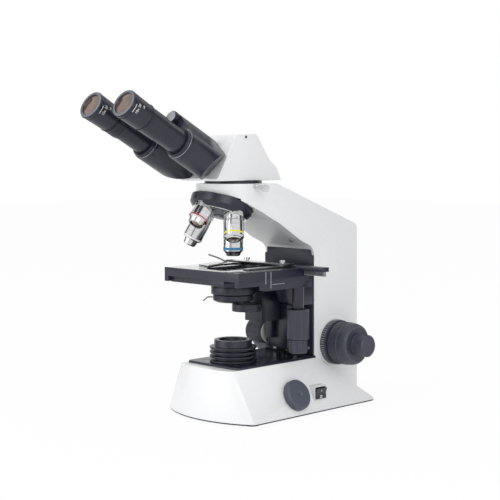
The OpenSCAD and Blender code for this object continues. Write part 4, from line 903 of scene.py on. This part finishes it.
# %% Screws and rating plate
INLET_INSET, PANEL_INSET, PANEL_SCREW_UP = 2.2, 7, 8
PLATE_Z, PLATE_HALF_WIDTH, PLATE_HEIGHT, PLATE_THICKNESS = 118, 17, 20, 0.5
fasteners = bmesh.new()
inlet_low, inlet_high = [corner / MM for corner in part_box("power_inlet")]
middle = (inlet_low[2] + inlet_high[2]) / 2
for x in (inlet_low[0] + INLET_INSET, inlet_high[0] - INLET_INSET):
    spot, facing = on_face("power_inlet", (x, 220, middle), (0, -1, 0))
    screw(spot, facing, 1.5, into=fasteners)
panel_low, panel_high = [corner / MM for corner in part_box("column_panel")]
for x in (panel_low[0] + PANEL_INSET, panel_high[0] - PANEL_INSET):
    start = (x, panel_low[1] - 20, panel_low[2] + PANEL_SCREW_UP)
    spot, facing = on_face("column_panel", start, (0, 1, 0))
    screw(spot, facing, 2.0, into=fasteners)
for x in (-48, 48):
    for y in (-20, 140):
        spot, facing = on_face("bottom_plate", (x, y, -20), (0, 0, 1))
        screw(spot, facing, 1.6, into=fasteners)
keep("frame_screws", fasteners, "stand", STEEL)
plate_spot, plate_facing = on_face("arm_column", (0, 230, PLATE_Z), (0, -1, 0))
half_plate = Vector((PLATE_HALF_WIDTH, 0, 0))
plate = bar(plate_spot - half_plate, plate_spot + half_plate, plate_facing, PLATE_HEIGHT,
            PLATE_THICKNESS)
keep("rating_plate", plate, "stand", SINK)
rivets = bmesh.new()
for x in (-14.5, 14.5):
    for z in (-7.5, 7.5):
        spot = plate_spot + plate_facing * PLATE_THICKNESS + Vector((x, 0, z))
        screw(spot, plate_facing, 1.1, into=rivets)
keep("plate_rivets", rivets, "stand", STEEL)
print("rating plate at y in mm:", round(plate_spot.y, 1))

# %% [markdown]
# ## Light, floor and camera
# A studio tent lights such an instrument from all round, with a soft key from above. The floor and
# the surround are plain white to the camera and to mirrors, and the floor keeps a soft shadow. The
# lens is long, so that the upright lines stay nearly parallel.

# %% World and lamps
def seen_directly(tree):
    """The light path node, and a node that is 1 for what the camera or a reflection sees."""
    path = add(tree, "LightPath")
    rays = {0: path.outputs["Is Camera Ray"], 1: path.outputs["Is Glossy Ray"]}
    return path, add(tree, "Math", rays, operation="MAXIMUM")


def studio_world(ambient):
    world = bpy.data.worlds.new("studio_tent")
    bpy.context.scene.world = world
    world.use_nodes = True
    tree = world.node_tree
    tree.nodes.clear()
    path, seen = seen_directly(tree)
    rays = {0: seen.outputs[0], 1: path.outputs["Is Transmission Ray"]}
    through = add(tree, "Math", rays, operation="MAXIMUM")
    soft = add(tree, "Background")
    soft.inputs["Strength"].default_value = ambient
    white = add(tree, "Background")
    mixed = add(tree, "MixShader", {0: through.outputs[0], 1: soft.outputs[0], 2: white.outputs[0]})
    white.inputs["Color"].default_value = soft.inputs["Color"].default_value = (1, 1, 1, 1)
    add(tree, "OutputWorld", {"Surface": mixed.outputs[0]})


def softbox(name, place, aim, size, power):
    lamp = bpy.data.lights.new(name, "AREA")
    lamp.shape, lamp.size, lamp.energy = "SQUARE", size, power
    holder = bpy.data.objects.new(name, lamp)
    holder.location = place
    holder.rotation_euler = (Vector(aim) - Vector(place)).to_track_quat("-Z", "Y").to_euler()
    bpy.context.scene.collection.objects.link(holder)


AMBIENT = 0.78
LAMPS = (("key", (-0.25, -1.25, 1.2), (0, 0, 0.15), 0.8, 7),
         ("side", (1.3, -0.7, 0.8), (0, 0, 0.15), 0.8, 5),
         ("low", (-0.5, -1.3, 0.2), (0, 0, 0.12), 0.7, 2.5))
studio_world(AMBIENT)
for lamp in LAMPS:
    softbox(*lamp)
print("softboxes:", ", ".join(lamp[0] for lamp in LAMPS))

# %% [markdown]
# Chrome in an all-white tent looks like grey plastic. A photographer stands narrow black cards
# beside the object, and their reflections draw the dark streaks that say metal. The cards are seen
# by reflections only: they cast no shadow and take no light from the enamel.

# %% Black cards
card_black = enamel_ring("black_card", "#050506")


def black_card(name, azimuth, width, low=-0.1, high=0.9, distance=0.9):
    """A standing card on a circle round the microscope, its face towards the middle."""
    out = Vector((sin(radians(azimuth)), -cos(radians(azimuth)), 0))
    side = Vector((0, 0, 1)).cross(out)
    corners = [out * distance + side * (share * width / 2) + Vector((0, 0, z))
               for share, z in ((-1, low), (1, low), (1, high), (-1, high))]
    mesh = bpy.data.meshes.new(name)
    mesh.from_pydata([tuple(c) for c in corners], [], [(0, 1, 2, 3)])
    mesh.materials.append(card_black)
    made = bpy.data.objects.new(name, mesh)
    bpy.context.scene.collection.objects.link(made)
    made.visible_camera = made.visible_diffuse = made.visible_shadow = False


for name, azimuth, width in (("left_card", -75, 0.35), ("middle_card", 20, 0.12),
                             ("right_card", 150, 0.5), ("rear_card", -150, 0.3)):
    black_card(name, azimuth, width)
    print(name, "at degrees:", azimuth)

# %% [markdown]
# The floor is one sheet with the background. The camera sees it nearly white by its own glow, and
# the small share that is left takes the microscope's shadow.

# %% Floor
FLOOR_GLOW, FLOOR_HALF_SIZE, FLOOR_BELOW = 0.94, 6, 0.0002


def tent_floor():
    material, tree, shader, where = start_finish("white_sweep", "#f4f4f4", Roughness=0.9)
    shader.inputs["Specular IOR Level"].default_value = 0.0
    seen = seen_directly(tree)[1]
    share = add(tree, "Math", {0: seen.outputs[0]}, operation="MULTIPLY")
    share.inputs[1].default_value = FLOOR_GLOW
    glow = add(tree, "Emission", Strength=1.0)
    mixed = add(tree, "MixShader", {0: share.outputs[0], 1: shader.outputs["BSDF"], 2: glow.outputs[0]})
    out = next(n for n in tree.nodes if n.type == "OUTPUT_MATERIAL")
    tree.links.new(mixed.outputs[0], out.inputs["Surface"])
    return material


bm = bmesh.new()
bmesh.ops.create_grid(bm, x_segments=1, y_segments=1, size=FLOOR_HALF_SIZE)
floor_mesh = bpy.data.meshes.new("floor")
bm.to_mesh(floor_mesh)
bm.free()
floor_mesh.materials.append(tent_floor())
floor = bpy.data.objects.new("floor", floor_mesh)
floor.location.z = cad_box[0][2] - FLOOR_BELOW
bpy.context.scene.collection.objects.link(floor)
print("floor at z:", round(floor.location.z, 4))

# %% [markdown]
# The camera stands at the right front, level, and a shift of the lens brings the object into the
# frame. A view camera does the same, and it keeps the upright lines upright.

# %% Camera
AZIMUTH = radians(45.13)
DISTANCE, EYE_HEIGHT, SIDE_STEP = 1.38918, 0.29294, 0.01942
SENSOR_MM, FOCAL_MM, LENS_SHIFT = 36, 87.02, -0.1814
look = Vector((-sin(AZIMUTH), cos(AZIMUTH), 0))
right = Vector((cos(AZIMUTH), sin(AZIMUTH), 0))
camera = bpy.data.objects.new("camera", bpy.data.cameras.new("camera"))
camera.location = -DISTANCE * look + SIDE_STEP * right + Vector((0, 0, EYE_HEIGHT))
camera.rotation_euler = look.to_track_quat("-Z", "Y").to_euler()
camera.data.sensor_width, camera.data.lens = SENSOR_MM, FOCAL_MM
camera.data.shift_y = LENS_SHIFT
bpy.context.scene.collection.objects.link(camera)
bpy.context.scene.camera = camera
bpy.context.scene.view_settings.view_transform = "Standard"
print("focal length in mm:", FOCAL_MM, "height in m:", EYE_HEIGHT)
